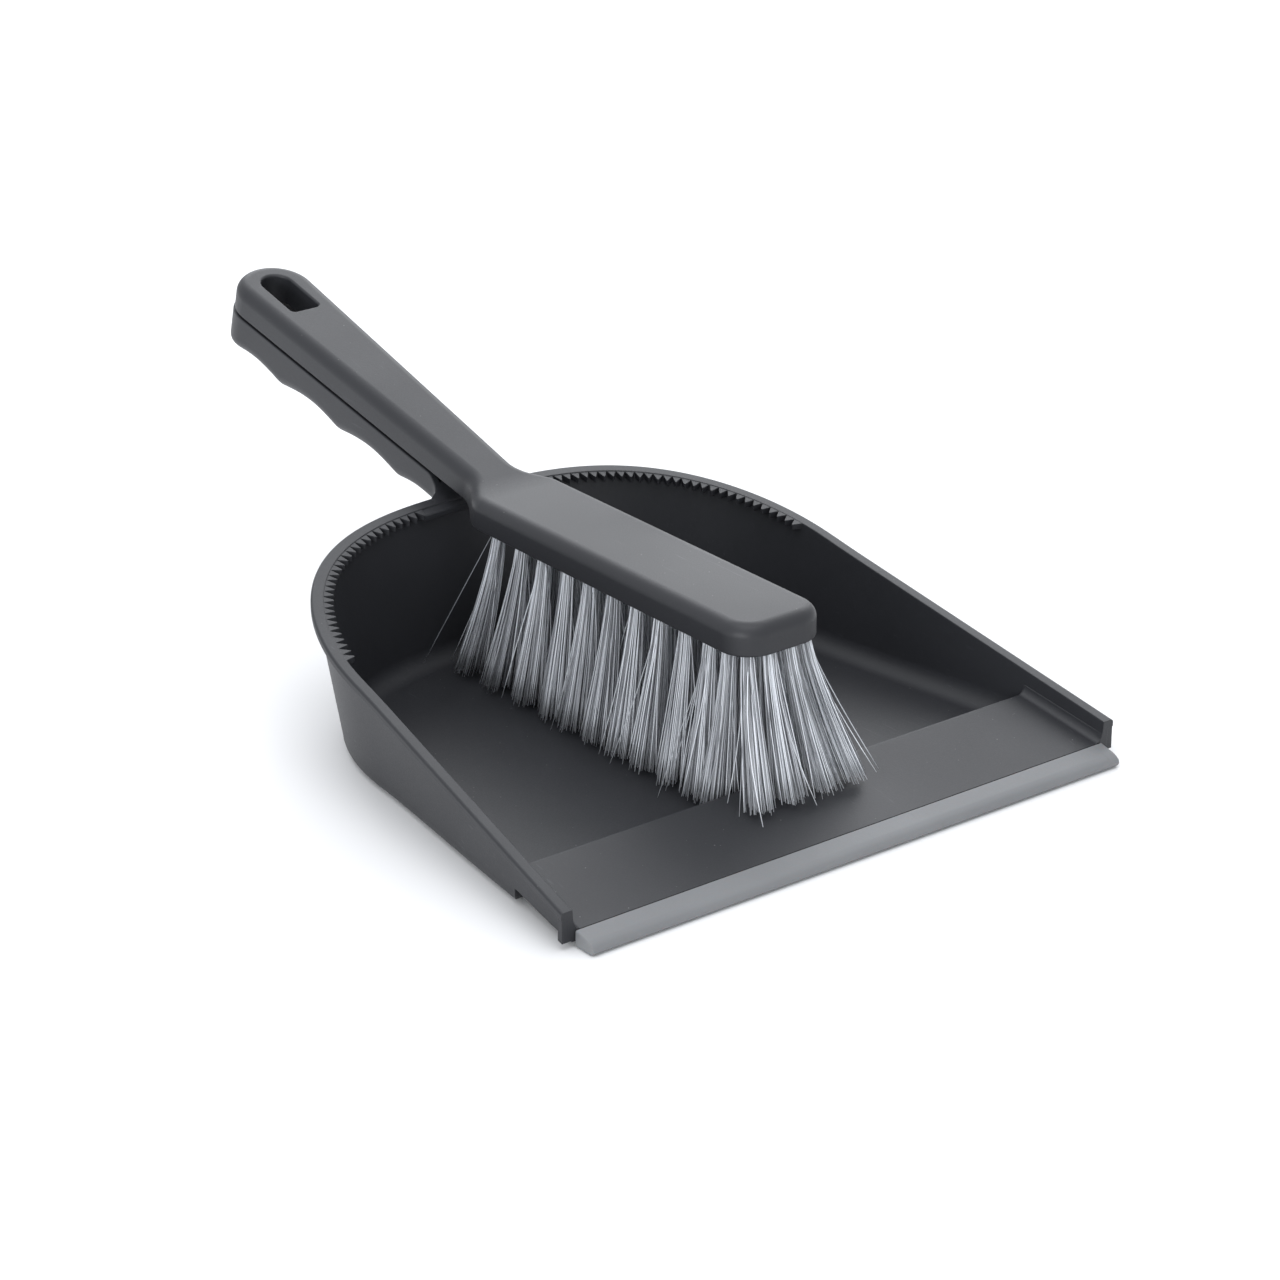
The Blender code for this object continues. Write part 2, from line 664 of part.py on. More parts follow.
def build_body(frame, origin, look):
    """Block, neck and hollow handle in one moulding, with a blind hole for each tuft."""
    ox, oy, oz = origin

    def place(x, s, n):
        bx, by, bz = bent(x, s, n)
        return bx - ox, by - oy, bz - oz

    outline = body_outline()
    rings = [[(x, s, 0.0) for x, s in inset(outline, 0.5)], [(x, s, 0.5) for x, s in outline]]
    for degrees in (0, 22.5, 45, 67.5, 90):
        turn = math.radians(degrees)
        run = BODY_ROUND * (1 - math.cos(turn))
        level = BODY_THICK - BODY_ROUND * (1 - math.sin(turn))
        rings.append([(x, s, level) for x, s in inset(outline, run)])
    body = mirrored_stack("brush_body", rings, place=place, parent=frame)
    boolean(body, tuft_holes(frame, origin), "DIFFERENCE")

    hollow = [(body_half(s) - HANDLE_WALL, s) for s in (BODY_CAVITY_FROM, 200, 225, 255, 285)]
    hollow += rounded_end(BRUSH_END - HANDLE_WALL, lambda s: body_half(s) - HANDLE_WALL, 8)
    roof = BODY_THICK - BODY_ROOF
    rings = [[(x, s, n) for x, s in side_inset(hollow, run)] for n, run in ((-3.0, 0), (roof - 2, 0), (roof, 2))]
    boolean(body, mirrored_stack("cut_body_hollow", rings, place=place, parent=frame), "DIFFERENCE")

    rings = [[(x, s, n) for x, s in hole_outline(BOSS_WALL)] for n in (0.3, BODY_THICK - 1.0)]
    boolean(body, mirrored_stack("join_body_boss", rings, place=place, parent=frame), "UNION")
    rings = [[(x, s, n) for x, s in hole_outline()] for n in (-5.0, BODY_THICK + 5.0)]
    boolean(body, mirrored_stack("cut_body_hole", rings, place=place, parent=frame), "DIFFERENCE")
    finish(body, look)


def main():
    for thing in list(bpy.data.objects):
        bpy.data.objects.remove(thing, do_unlink=True)
    plastic = material("charcoal_plastic", PLASTIC, 0.55)
    rubber = material("grey_rubber", RUBBER, 0.6)
    filament = material("grey_filament", FILAMENT, 0.5)

    frame = frame_empty("set_frame", (0.0, -LENGTH / 2, 0.0))
    build_pan(frame, plastic)
    build_lip(frame, rubber)

    brush_origin = (0.0, FOLD_Y, PART_Z)
    brush_frame = frame_empty("brush_lift", brush_origin, frame)
    build_body(brush_frame, brush_origin, plastic)
    for place in tuft_places():
        build_tuft(brush_frame, brush_origin, place, filament)


main()
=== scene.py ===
"""Dustpan and hand brush set: smooth mouldings, a soft lip and drawn filaments around the frame."""

import math
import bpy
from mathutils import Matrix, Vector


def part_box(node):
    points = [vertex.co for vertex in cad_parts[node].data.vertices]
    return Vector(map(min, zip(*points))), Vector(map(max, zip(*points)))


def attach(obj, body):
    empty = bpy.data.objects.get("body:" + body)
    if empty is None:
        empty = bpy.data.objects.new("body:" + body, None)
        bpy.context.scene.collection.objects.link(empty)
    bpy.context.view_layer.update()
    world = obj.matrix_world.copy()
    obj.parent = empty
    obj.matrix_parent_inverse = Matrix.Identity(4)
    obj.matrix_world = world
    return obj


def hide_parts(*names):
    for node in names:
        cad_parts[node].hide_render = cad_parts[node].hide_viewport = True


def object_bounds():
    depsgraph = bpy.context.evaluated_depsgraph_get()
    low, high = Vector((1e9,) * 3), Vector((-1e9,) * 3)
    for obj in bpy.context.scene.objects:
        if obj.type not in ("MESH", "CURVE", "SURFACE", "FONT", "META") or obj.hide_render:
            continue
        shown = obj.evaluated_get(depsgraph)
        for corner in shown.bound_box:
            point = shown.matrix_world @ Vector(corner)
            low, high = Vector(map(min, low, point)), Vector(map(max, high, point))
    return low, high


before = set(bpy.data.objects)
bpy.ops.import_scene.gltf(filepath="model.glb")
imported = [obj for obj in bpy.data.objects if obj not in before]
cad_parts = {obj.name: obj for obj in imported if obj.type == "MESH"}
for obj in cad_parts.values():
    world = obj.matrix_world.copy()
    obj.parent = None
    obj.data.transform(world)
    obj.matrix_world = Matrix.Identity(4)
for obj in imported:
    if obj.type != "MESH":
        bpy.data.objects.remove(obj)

from types import SimpleNamespace

import bmesh
import bpy
import numpy as np
from bpy.props import FloatProperty, FloatVectorProperty, IntProperty, PointerProperty
from mathutils import Vector

bl_info = {
    "name": "Dustpan and brush set",
    "version": (1, 0, 0),
    "blender": (4, 5, 0),
    "location": "View3D > Sidebar > Dustpan set",
    "description": "Builds the looks of a dustpan with a hand brush resting in it",
    "category": "Object",
}

MM = 0.001
CAD_LOW, CAD_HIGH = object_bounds()
_, PAN_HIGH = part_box("pan")
_, LIP_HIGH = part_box("lip_strip")
BODY_LOW, BODY_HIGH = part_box("brush_body")
TUFTS = sorted(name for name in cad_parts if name.startswith("tuft_"))

# Lengths below are in millimetres.
FOLD_RADIUS = 60.0        # bend of the handles at the fold line
PART_GAP = 0.8            # between the parting line and the pan handle's upper edge
EDGE_EASE = 0.35          # small rounding on moulded edges
ROOT_LEAN = 0.4           # lean of the pan handle's hidden front end, to stay inside the tray's wall
ROOT_OVERLAP = 0.6        # how far that end reaches into the wall
TOP_LEVEL_FROM = 206.0    # where the pan handle's upper edge has reached its level
CREST_EASE = 0.004        # easing of the crests between the finger hollows
AHEAD = -20.0             # where cutting shapes end, ahead of the lip
UNDER = -6.0              # where cutting shapes end, under the floor
RING_TOLERANCE = 0.01     # for finding the end rings of a tuft node
SHARP_ANGLE = math.radians(32)

# The comb: six stops of one tooth as shares of the pitch, from root over flank and tip to root.
TOOTH_STEPS = (0.0, 0.36, 0.41, 0.51, 0.56, 0.92)
TOOTH_FLANK = 0.3         # how far the flank's stop lies short of the tip
BAND_REAR = 1.6           # rear edge of the comb's strip, in from the rim's outer edge

# The lip's section as (along, up): the rounded nose from the top down to the floor.
LIP_NOSE = [(1.7, 3.47), (1.1, 3.15), (0.65, 2.75), (0.3, 2.25), (0.08, 1.75), (0.0, 1.3), (0.1, 0.85),
            (0.35, 0.5),
            (0.75, 0.22), (1.3, 0.05), (2.2, 0.0)]
TONGUE_FRONT, TONGUE_LOW, TONGUE_HIGH = 3.4, 1.6, 3.0

# The hollow of the brush's handle.
HOLLOW_FROM, HOLLOW_SHORT, HOLLOW_ROOF = 194.0, 16.0, 2.5

# Filaments.
STATIONS = 7              # points along one filament's centre line
SECTORS = 4               # clumps round a tuft
CORE_SHARE = 0.45         # share of a tuft's filaments in its inner clumps
DISC_SCATTER = 0.05       # scatter of the places in the socket
CLUMP_PULL = 0.36         # how far a clump's tips move together
SWAY = 0.16               # bow of a filament
STRAY_SWAY = 0.9          # bow of a straying one
SOCKET_REACH = 4.5        # how far a filament runs up into its socket
END_TAPER = 0.7           # thickness of the cut end against the rest
STRAY_FROM = (-1.4, 1.2, 0.0)
STRAY_TO = (-17.5, 15.1, -45.6)

# Anchor wires: half width, rise of the bend, foot of the legs, radius, depth under the socket's end.
WIRE_HALF, WIRE_RISE, WIRE_LEG, WIRE_RADIUS, WIRE_DEPTH = 1.7, 0.5, -1.3, 0.22, 0.85
WIRE_SIDES = 6

DUST_COLOUR = (0.34, 0.34, 0.33)
CUT_END_COLOUR = (0.62, 0.64, 0.66)

# Stage, in metres: the floor's half size, steps and place just under the set; then each softbox's
# place, aim and size.
FLOOR_REACH, FLOOR_STEPS, FLOOR_Z = 4.0, 8, -0.0002
SOFTBOXES = {
    "back": ((0.92, 1.0, 0.87), (0, 0, 0.05), (1.6, 1.3)),
    "top": ((-0.15, -0.2, 1.4), (0, 0, 0.03), (1.3, 1.3)),
    "left": ((-1.5, -0.8, 0.34), (0, 0, 0.03), (0.8, 0.4)),
}


# ---------------------------------------------------------------- sizes and colours

def length(name, description, default):
    return FloatProperty(name=name, description=description, default=default, min=0.0, precision=5,
                         unit="LENGTH", subtype="DISTANCE")


def number(name, description, default):
    return FloatProperty(name=name, description=description, default=default, precision=3)


def colour(name, description, default):
    return FloatVectorProperty(name=name, description=description, default=default, size=3, min=0.0,
                               max=1.0,
                               subtype="COLOR")


class PanSizes(bpy.types.PropertyGroup):
    front_half: length("Half width", "Half the rim's width at the front", PAN_HIGH.x)
    front_y: length("Wall front", "Front ends of the side walls, behind the lip's front", 0.0084)
    side_end_half: length("Half width at the bend", "Half width where the sides turn into the back",
                          0.0941)
    side_end_y: length("Bend", "Where the straight sides turn into the round back", 0.1219)
    back_y: length("Back", "Rim at the middle of the back", 0.1996)
    power_x: number("Back shape across", "Power of the rounded back across the pan", 2.9)
    power_y: number("Back shape along", "Power of the rounded back along the pan", 1.92)
    rim_front_z: length("Rim height at the front", "Height of the rim at the front", 0.0116)
    rim_slope: number("Rim slope", "Rise of the rim towards the back", 0.219)
    rim_width: length("Rim width", "Width of the flat rim", 0.00385)
    rim_round: length("Rim rounding", "Rounding of the rim's outer edge", 0.0009)
    flange: length("Flange", "How far the rim overhangs the wall outside", 0.0020)
    flange_thick: length("Flange thickness", "Height of the rim's overhang", 0.0024)
    draft_front: number("Wall lean at the front", "Outward lean of the walls at the front", 0.08)
    draft_back: number("Wall lean at the back", "Outward lean of the walls at the back", 0.165)
    floor_thick: length("Floor thickness", "Thickness of the tray floor", 0.0026)
    edge_round: length("Outer rounding", "Rounding between wall and underside", 0.0042)
    floor_round: length("Inner rounding", "Rounding between floor and wall", 0.0070)
    ridge_y: length("Ridge", "Top of the ramp, behind the lip's front", 0.0399)
    ridge_z: length("Ridge height", "Height of the ramp's ridge", 0.0113)
    ramp_front_y: length("Ramp front", "Front of the ramp", 0.0085)
    ramp_front_z: length("Ramp front height", "Height of the ramp's front edge", 0.00505)
    ramp_thick: length("Ramp thickness", "Thickness of the ramp plate", 0.0020)
    ramp_round: length("Ramp rounding", "Rounding between ramp and side walls", 0.0026)
    step_y: length("Step", "Front face of the step under the ridge", 0.0382)
    step_round: length("Step rounding", "Rounding under the step", 0.0050)
    skirt_rear_z: length("Skirt rear", "Lower edge of the side walls at the step", 0.0058)
    skirt_front_z: length("Skirt front", "Lower edge of the side walls at the front", 0.0020)
    tongue_half: length("Tongue half width", "Half the width of the tongue that carries the lip",
                        0.0990)
    tooth_pitch: length("Tooth pitch", "Pitch of the comb's teeth", 0.0033)
    tooth_root: length("Tooth root", "Root of the teeth, in from the rim's outer edge", 0.0041)
    tooth_tip: length("Tooth tip", "Tip of the teeth, in from the rim's outer edge", 0.0071)
    comb_thick: length("Comb thickness", "Thickness of the teeth", 0.0019)
    comb_from_x: length("Comb start", "Nearest tooth to the handle", 0.0190)
    comb_to_y: length("Comb end", "Last tooth on the side wall", 0.1370)
    handle_from: length("Handle root", "Where the handle leaves the rim", 0.1966)
    handle_end: length("Handle end", "End of the handle, along the straight drawing", 0.3235)
    trough_from: length("Channel start", "Start of the handle's open channel, behind the rim", 0.2020)
    root_depth: length("Root depth", "Depth of the handle at its root", 0.0108)
    end_depth: length("End depth", "Depth of the handle at its end", 0.0144)
    grip_pitch: length("Grip pitch", "Pitch of the finger ridges", 0.0324)
    grip_first: length("First grip", "Deepest point of the first finger ridge", 0.2217)
    grip_height: length("Grip height", "Height of the finger ridges", 0.0011)
    handle_round: length("Handle rounding", "Rounding along the handle's underside", 0.0045)


class BrushSizes(bpy.types.PropertyGroup):
    fold_y: length("Fold line", "Where the handles fold upwards", 0.1739)
    part_z: length("Parting height", "Underside of the block", BODY_LOW.z)
    fold_angle: FloatProperty(name="Handle angle", description="Rise of the handles", unit="ROTATION",
                              subtype="ANGLE", default=math.radians(13.7))
    block_front: length("Block front", "Front of the block", 0.0379)
    block_half: length("Block half width", "Half the block's width", BODY_HIGH.x)
    block_corner: length("Block corner", "Corner radius at the block's front", 0.0103)
    thick: length("Thickness", "Thickness of block and handle", 0.0099)
    edge_round: length("Edge rounding", "Rounding of the upper edges", 0.0042)
    neck_half: length("Neck half width", "Half the handle's width at the fold line", 0.00854)
    widening: number("Widening", "Half width gained along the handle", 0.036)
    shoulder_from: length("Shoulder start", "Where the block narrows to the neck", 0.1690)
    shoulder_to: length("Shoulder end", "Where the neck starts", 0.1880)
    end: length("Handle end", "End of the handle, along the straight drawing", 0.3228)
    wall: length("Handle wall", "Wall of the hollow handle", 0.0022)
    hole_from: length("Hole front", "Front of the hanging hole", 0.2920)
    hole_to: length("Hole end", "Rounded end of the hanging hole", 0.3150)
    hole_half: length("Hole half width", "Half the hanging hole's width", 0.0054)
    hole_corner: length("Hole corner", "Corner radius of the hanging hole", 0.0015)
    boss_wall: length("Boss wall", "Wall round the hanging hole", 0.0017)
    socket_radius: length("Socket radius", "Radius of a drilled tuft hole", 0.0028)
    socket_depth: length("Socket depth", "Depth of a drilled tuft hole", 0.0064)


class BristleSizes(bpy.types.PropertyGroup):
    count: IntProperty(name="Filaments", description="Filaments in each tuft", default=110, min=8,
                       max=140)
    root_radius: length("Tuft radius", "Radius of a tuft where it leaves its socket", 0.0019)
    width: length("Filament width", "Thickness of one filament", 0.00033)
    spread: number("Spread", "How far the tips spread, against the frame's tufts", 1.08)
    wander: length("Wander", "Scatter of the tips", 0.0011)
    stray_share: number("Strays", "Share of filaments that stray from their tuft", 0.07)
    stray_reach: length("Stray reach", "Scatter of the straying tips", 0.0042)
    cut: length("Uneven cut", "How much the filaments differ in length", 0.0019)
    seed: IntProperty(name="Seed", description="Seed of the scatter", default=11)


class Finishes(bpy.types.PropertyGroup):
    plastic: colour("Plastic", "Charcoal moulded plastic", (0.0180, 0.0188, 0.0222))
    rubbed: colour("Rubbed plastic", "The plastic where it is handled", (0.0215, 0.0225, 0.0262))
    rubber: colour("Lip", "Grey soft lip", (0.180, 0.185, 0.191))
    filament: colour("Filament", "Grey drawn filament", (0.86, 0.89, 0.93))
    filament_dark: colour("Dark filament", "The darkest filaments", (0.23, 0.24, 0.26))
    wire: colour("Wire", "Plated wire of the anchors", (0.62, 0.60, 0.56))
    floor: colour("Floor", "Pale studio floor", (0.90, 0.90, 0.90))


class StageSettings(bpy.types.PropertyGroup):
    azimuth: FloatProperty(name="Azimuth", description="Camera's turn to the left of straight ahead",
                           unit="ROTATION", subtype="ANGLE", default=math.radians(38.083))
    elevation: FloatProperty(name="Elevation", description="Camera's height above the horizon",
                             unit="ROTATION", subtype="ANGLE", default=math.radians(23.497))
    distance: length("Distance", "Camera to its target", 1.3137)
    target_x: FloatProperty(name="Target across", description="Camera's target", default=0.0003,
                            unit="LENGTH")
    target_y: FloatProperty(name="Target along", description="Camera's target", default=-0.0529,
                            unit="LENGTH")
    target_z: FloatProperty(name="Target height", description="Camera's target", default=0.0320,
                            unit="LENGTH")
    lens: number("Lens", "Focal length in millimetres", 120.71)
    sky_colour: colour("Light colour", "Colour of the surround and the softboxes", (0.95, 0.968, 1.0))
    sky: number("Sky", "Strength of the white surround", 0.82)
    back_light: number("Back light", "Power of the softbox behind the set in watts", 14.0)
    top_light: number("Top light", "Power of the overhead softbox in watts", 9.0)
    left_light: number("Left light", "Power of the low softbox at the left in watts", 10.0)


def plain_values(group):
    """A property group's values as plain numbers: lengths in millimetres, colours as tuples."""
    found = {}
    for key, prop in group.bl_rna.properties.items():
        if prop.type not in {"FLOAT", "INT"}:
            continue
        value = getattr(group, key)
        if getattr(prop, "is_array", False):
            value = tuple(value)
        elif prop.type == "FLOAT" and prop.unit == "LENGTH":
            value = value / MM
        found[key] = value
    return SimpleNamespace(**found)


# ---------------------------------------------------------------- curves

def smooth(t):
    """Eases from 0 to 1: three t squared less two t cubed."""
    t = np.clip(t, 0.0, 1.0)
    return t * t * (3 - 2 * t)


def inward(half):
    """Unit normals of a half outline towards its inside: the direction from the point before to the
    point after, turned a quarter left. Past its last point, on the centre line, the outline goes on
    as its mirror image."""
    after = np.vstack([half[1:], half[-2] * (-1, 1)])
    before = np.vstack([half[:1], half[:-1]])
    along = after - before
    turned = np.stack([-along[:, 1], along[:, 0]], axis=1)
    return turned / np.linalg.norm(turned, axis=1, keepdims=True)


def inset(half, distance, square_end=False):
    """A half outline moved inwards along its normals; square_end keeps its first point's place along
    the handle."""
    moved = half + inward(half) * distance
    moved[:, 0] = np.maximum(moved[:, 0], 0.0)
    if square_end:
        moved[0] = half[0] - (distance, 0)
    return moved


def at_height(half, height):
    """A half outline as points in space, at one height or at a height for each point."""
    return np.column_stack([half, np.broadcast_to(height, len(half))])


def even_points(points, step):
    """Points at even arc lengths of about step along a polyline, by linear interpolation."""
    run = np.concatenate([[0.0], np.cumsum(np.linalg.norm(np.diff(points, axis=0), axis=1))])
    want = np.linspace(0.0, run[-1], int(round(run[-1] / step)) + 1)
    return np.column_stack([np.interp(want, run, points[:, 0]), np.interp(want, run, points[:, 1])])


def through(points, parts):
    """Catmull-Rom curve through a half outline, each span in that many parts, mirrored past the
    centre line."""
    held = np.vstack([2 * points[0] - points[1], points, points[-2] * (-1, 1)])
    a, b, c, d = held[:-3], held[1:-2], held[2:-1], held[3:]
    t = (np.arange(parts) / parts)[:, None, None]
    curve = 0.5 * (2 * b + (c - a) * t + (2 * a - 5 * b + 4 * c - d) * t ** 2
                   + (3 * b - a - 3 * c + d) * t ** 3)
    return np.vstack([curve.transpose(1, 0, 2).reshape(-1, 2), points[-1:]])


def rim_outline(s, parts=4):
    """Outer edge of the rim at +X: a straight side, then a quarter of a superellipse, |x|^p + |y|^q =
    1."""
    t = np.arange(40) / 40
    side = np.column_stack([s.front_half + (s.side_end_half - s.front_half) * t,
                            s.front_y + (s.side_end_y - s.front_y) * t])
    angle = np.linspace(0, math.pi / 2, 181)
    x = s.side_end_half * np.maximum(np.cos(angle), 0) ** (2 / s.power_x)
    y = s.side_end_y + (s.back_y - s.side_end_y) * np.sin(angle) ** (2 / s.power_y)
    x[-1] = 0.0
    path = even_points(np.vstack([side, np.column_stack([x, y])]), 4.9)
    for _ in range(2):
        path[1:-1] = (path[:-2] + 2 * path[1:-1] + path[2:]) / 4
    return through(path, parts)


def rim_z(s, y):
    return s.rim_front_z + s.rim_slope * (np.maximum(y, s.front_y) - s.front_y)


def draft(s, y):
    t = (y - s.front_y) / (s.side_end_y - s.front_y)
    return s.draft_front + (s.draft_back - s.draft_front) * smooth(t)


def ramp_z(s, y):
    slope = (s.ridge_z - s.ramp_front_z) / (s.ridge_y - s.ramp_front_y)
    return s.ramp_front_z + slope * (y - s.ramp_front_y)


def folded(points, b):
    """The straight drawing (across, along, away from the parting line) folded up to the handles'
    angle: along turns round an arc of FOLD_RADIUS at the fold line and then runs on straight at the
    handle angle."""
    across, along, away = np.moveaxis(np.asarray(points, float), -1, 0)
    setback = FOLD_RADIUS * math.tan(b.fold_angle / 2)
    run = along - (b.fold_y - setback)
    turn = np.clip(run / FOLD_RADIUS, 0.0, b.fold_angle)
    beyond = np.maximum(run - FOLD_RADIUS * b.fold_angle, 0.0)
    y = np.minimum(along,
                   b.fold_y - setback) + (FOLD_RADIUS - away) * np.sin(turn) + beyond * np.cos(turn)
    z = b.part_z + FOLD_RADIUS - (FOLD_RADIUS - away) * np.cos(turn) + beyond * np.sin(turn)
    return np.stack([across, y, z], axis=-1)


def half_circle(end, radius, count):
    """Quarter of a circle from a handle's side to its end on the centre line."""
    angle = np.linspace(0, math.pi / 2, count + 1)
    found = np.column_stack([radius * np.cos(angle), end - radius + radius * np.sin(angle)])
    found[-1, 0] = 0.0
    return found


def quarter(start_degrees, count):
    """Angles from start to a right angle, in radians."""
    return np.radians(np.linspace(start_degrees, 90, count + 1))


# ---------------------------------------------------------------- meshes

def solid(name, points, faces):
    """A closed mesh object from points in millimetres behind the lip's front, its faces turned
    outwards."""
    mesh = bpy.data.meshes.new(name)
    placed = np.asarray(points, float).reshape(-1, 3) * MM + (0, CAD_LOW.y, 0)
    mesh.from_pydata(placed.tolist(), [], faces)
    made = bmesh.new()
    made.from_mesh(mesh)
    bmesh.ops.recalc_face_normals(made, faces=made.faces)
    made.to_mesh(mesh)
    made.free()
    thing = bpy.data.objects.new(name, mesh)
    bpy.context.scene.collection.objects.link(thing)
    return thing


def ring_faces(rows, around):
    """Quads between closed rings: each corner, the next one round, and the two above them."""
    base = np.arange(rows - 1)[:, None] * around
    here = np.arange(around)[None, :]
    there = (here + 1) % around
    quads = np.stack([base + here, base + there, base + around + there, base + around + here], axis=-1)
    return quads.reshape(-1, 4).tolist()


def half_stack(name, rings):
    """A closed surface of two parameters: round a half outline and its mirror image, and up the
    rings. Mirrored points of the lowest and of the highest ring are joined straight across."""
    rings = np.asarray(rings, float)
    rows, half = rings.shape[:2]
    points = np.concatenate([rings, rings[:, -2::-1] * (-1, 1, 1)], axis=1)
    around = 2 * half - 1
    faces = ring_faces(rows, around)
    near = np.arange(half - 1)
    across = np.stack([near, near + 1, around - 2 - near, around - 1 - near], axis=-1)
    for offset in (0, (rows - 1) * around):
        faces += (across[:-1] + offset).tolist() + [(across[-1, [0, 1, 3]] + offset).tolist()]
    return solid(name, points, faces)


def across_pan(name, columns):
    """A closed surface whose profile runs across the pan: columns[k] is the profile at place k
    across."""
    columns = np.asarray(columns, float)
    rows, around = columns.shape[:2]
    ends = [list(range(around)), list(range((rows - 1) * around, rows * around))]
    return solid(name, columns, ring_faces(rows, around) + ends)


def combine(target, steps):
    """Carries out exact Booleans in order, keeps the result as target's own mesh, and removes the
    tools."""
    for tool, operation in steps:
        step = target.modifiers.new(tool.name, "BOOLEAN")
        step.operation = operation
        step.solver = "EXACT"
        step.object = tool
    keep_result(target)
    for tool, _ in steps:
        bpy.data.objects.remove(tool, do_unlink=True)


def keep_result(thing):
    """Puts the mesh that the modifiers give in place of the object's own mesh."""
    evaluated = thing.evaluated_get(bpy.context.evaluated_depsgraph_get())
    kept = bpy.data.meshes.new_from_object(evaluated)
    thing.modifiers.clear()
    old = thing.data
    thing.data = kept
    bpy.data.meshes.remove(old)


def moulded(thing):
    """Merges doubles, shades smooth between sharp edges, and lets large faces lead the normals beside
    them."""
    made = bmesh.new()
    made.from_mesh(thing.data)
    bmesh.ops.remove_doubles(made, verts=made.verts, dist=2e-6)
    bmesh.ops.dissolve_degenerate(made, edges=made.edges, dist=1e-6)
    made.to_mesh(thing.data)
    made.free()
    thing.data.shade_smooth()
    thing.data.set_sharp_from_angle(angle=SHARP_ANGLE)
    weighted = thing.modifiers.new("face_led_normals", "WEIGHTED_NORMAL")
    weighted.mode = "FACE_AREA"
    weighted.keep_sharp = True
    weighted.weight = 60
    keep_result(thing)


def dress(thing, look, body, stands_for=()):
    thing.data.materials.clear()
    thing.data.materials.append(look)
    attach(thing, body)
    if stands_for:
        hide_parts(*stands_for)


# ---------------------------------------------------------------- the pan

def wall_ring(s, path, height, offset):
    """One ring of the tray: the rim's outline moved in by offset(y, z), at height(y)."""
    y = path[:, 1]
    z = np.broadcast_to(height(y), len(path))
    normal = inward(path)
    distance = offset(y, z)
    x = np.maximum(path[:, 0] + normal[:, 0] * distance, 0.0)
    back = np.where(y > s.front_y + 0.1, normal[:, 1] * distance, 0.0)
    return np.column_stack([x, y + back, z])


def tray_outside(s):
    """Underside, outer wall, overhanging rim and rim top: rings from the floor up."""
    path = rim_outline(s)

    def wall(y, z):
        return s.flange + draft(s, y) * np.maximum(rim_z(s, y) - s.flange_thick - z, 0.0)

    rings = []
    for turn in quarter(0, 8):
        rise = s.edge_round * (1 - math.cos(turn))
        run = s.edge_round * (1 - math.sin(turn))
        rings.append(wall_ring(s, path, lambda y: rise, lambda y, z: run + wall(y, s.edge_round)))
    under = s.flange_thick
    # A fine crease where the wall meets the overhang, then the overhang's underside and lower edge.
    rings.append(wall_ring(s, path, lambda y: rim_z(s, y) - under - 0.4, wall))
    rings.append(wall_ring(s, path, lambda y: rim_z(s, y) - under - 0.05, lambda y,
                           z: wall(y, z) - 0.35))
    rings.append(wall_ring(s, path, lambda y: rim_z(s, y) - under, lambda y, z: 0.25 + 0 * y))
    rings.append(wall_ring(s, path, lambda y: rim_z(s, y) - under + 0.25, lambda y, z: 0 * y))
    for turn in quarter(0, 5):
        rise = s.rim_round * (1 - math.sin(turn))
        run = s.rim_round * (1 - math.cos(turn))
        rings.append(wall_ring(s, path, lambda y: rim_z(s, y) - rise, lambda y, z: run + 0 * y))
    return half_stack("tray", rings)


def tray_inside(s):
    """What the tray holds: floor, rounding, leaning inner wall and the eased inner edge of the rim."""
    path = rim_outline(s)
    slope = (path[0, 0] - path[1, 0]) / (path[1, 1] - path[0, 1])
    path[0] = (path[0, 0] - slope * AHEAD, s.front_y + AHEAD)

    def wall(y, z):
        return s.rim_width + draft(s, y) * np.maximum(rim_z(s, y) - z, 0.0)

    top = s.floor_thick + s.floor_round
    rings = []
    for turn in quarter(0, 10):
        rise = s.floor_thick + s.floor_round * (1 - math.cos(turn))
        run = s.floor_round * (1 - math.sin(turn))
        rings.append(wall_ring(s, path, lambda y: rise, lambda y, z: run + wall(y, top)))
    for turn in quarter(0, 3):
        rise = EDGE_EASE * (1 - math.sin(turn))
        run = EDGE_EASE * (1 - math.cos(turn))
        rings.append(wall_ring(s, path, lambda y: rim_z(s, y) - rise, lambda y, z: wall(y, z) - run))
    rings.append(wall_ring(s, path, lambda y: rim_z(s, y) + 6, lambda y, z: wall(y, z) - EDGE_EASE))
    return half_stack("tray_hollow", rings)


def beside_ramp(s, y, z, inset_by):
    """Half width of the space between the side walls' outer faces, moved in by inset_by, beside the
    ramp."""
    t = (y - s.front_y) / (s.side_end_y - s.front_y)
    outer = s.front_half + (s.side_end_half - s.front_half) * t
    return outer - inset_by - draft(s, y) * (rim_z(s, y) - z)


def wall_middle(s, y, z):
    return beside_ramp(s, y, z, (s.flange + s.rim_width) / 2)


def straight_across(name, profile, half_at):
    """A profile of (y, z) carried straight across the pan between two half widths."""
    profile = np.asarray(profile, float)
    half = np.broadcast_to(half_at(profile[:, 0], profile[:, 1]), len(profile))
    return across_pan(name, [np.column_stack([-half, profile]), np.column_stack([half, profile])])


def step_arc(s, turns, clear=0.0):
    """Rounding under the step, from its underside up to its front face, moved back and up by clear."""
    arc = np.column_stack([s.step_y + s.step_round * (1 - np.sin(turns)),
                           s.step_round * (1 - np.cos(turns))])
    return (arc + clear).tolist()


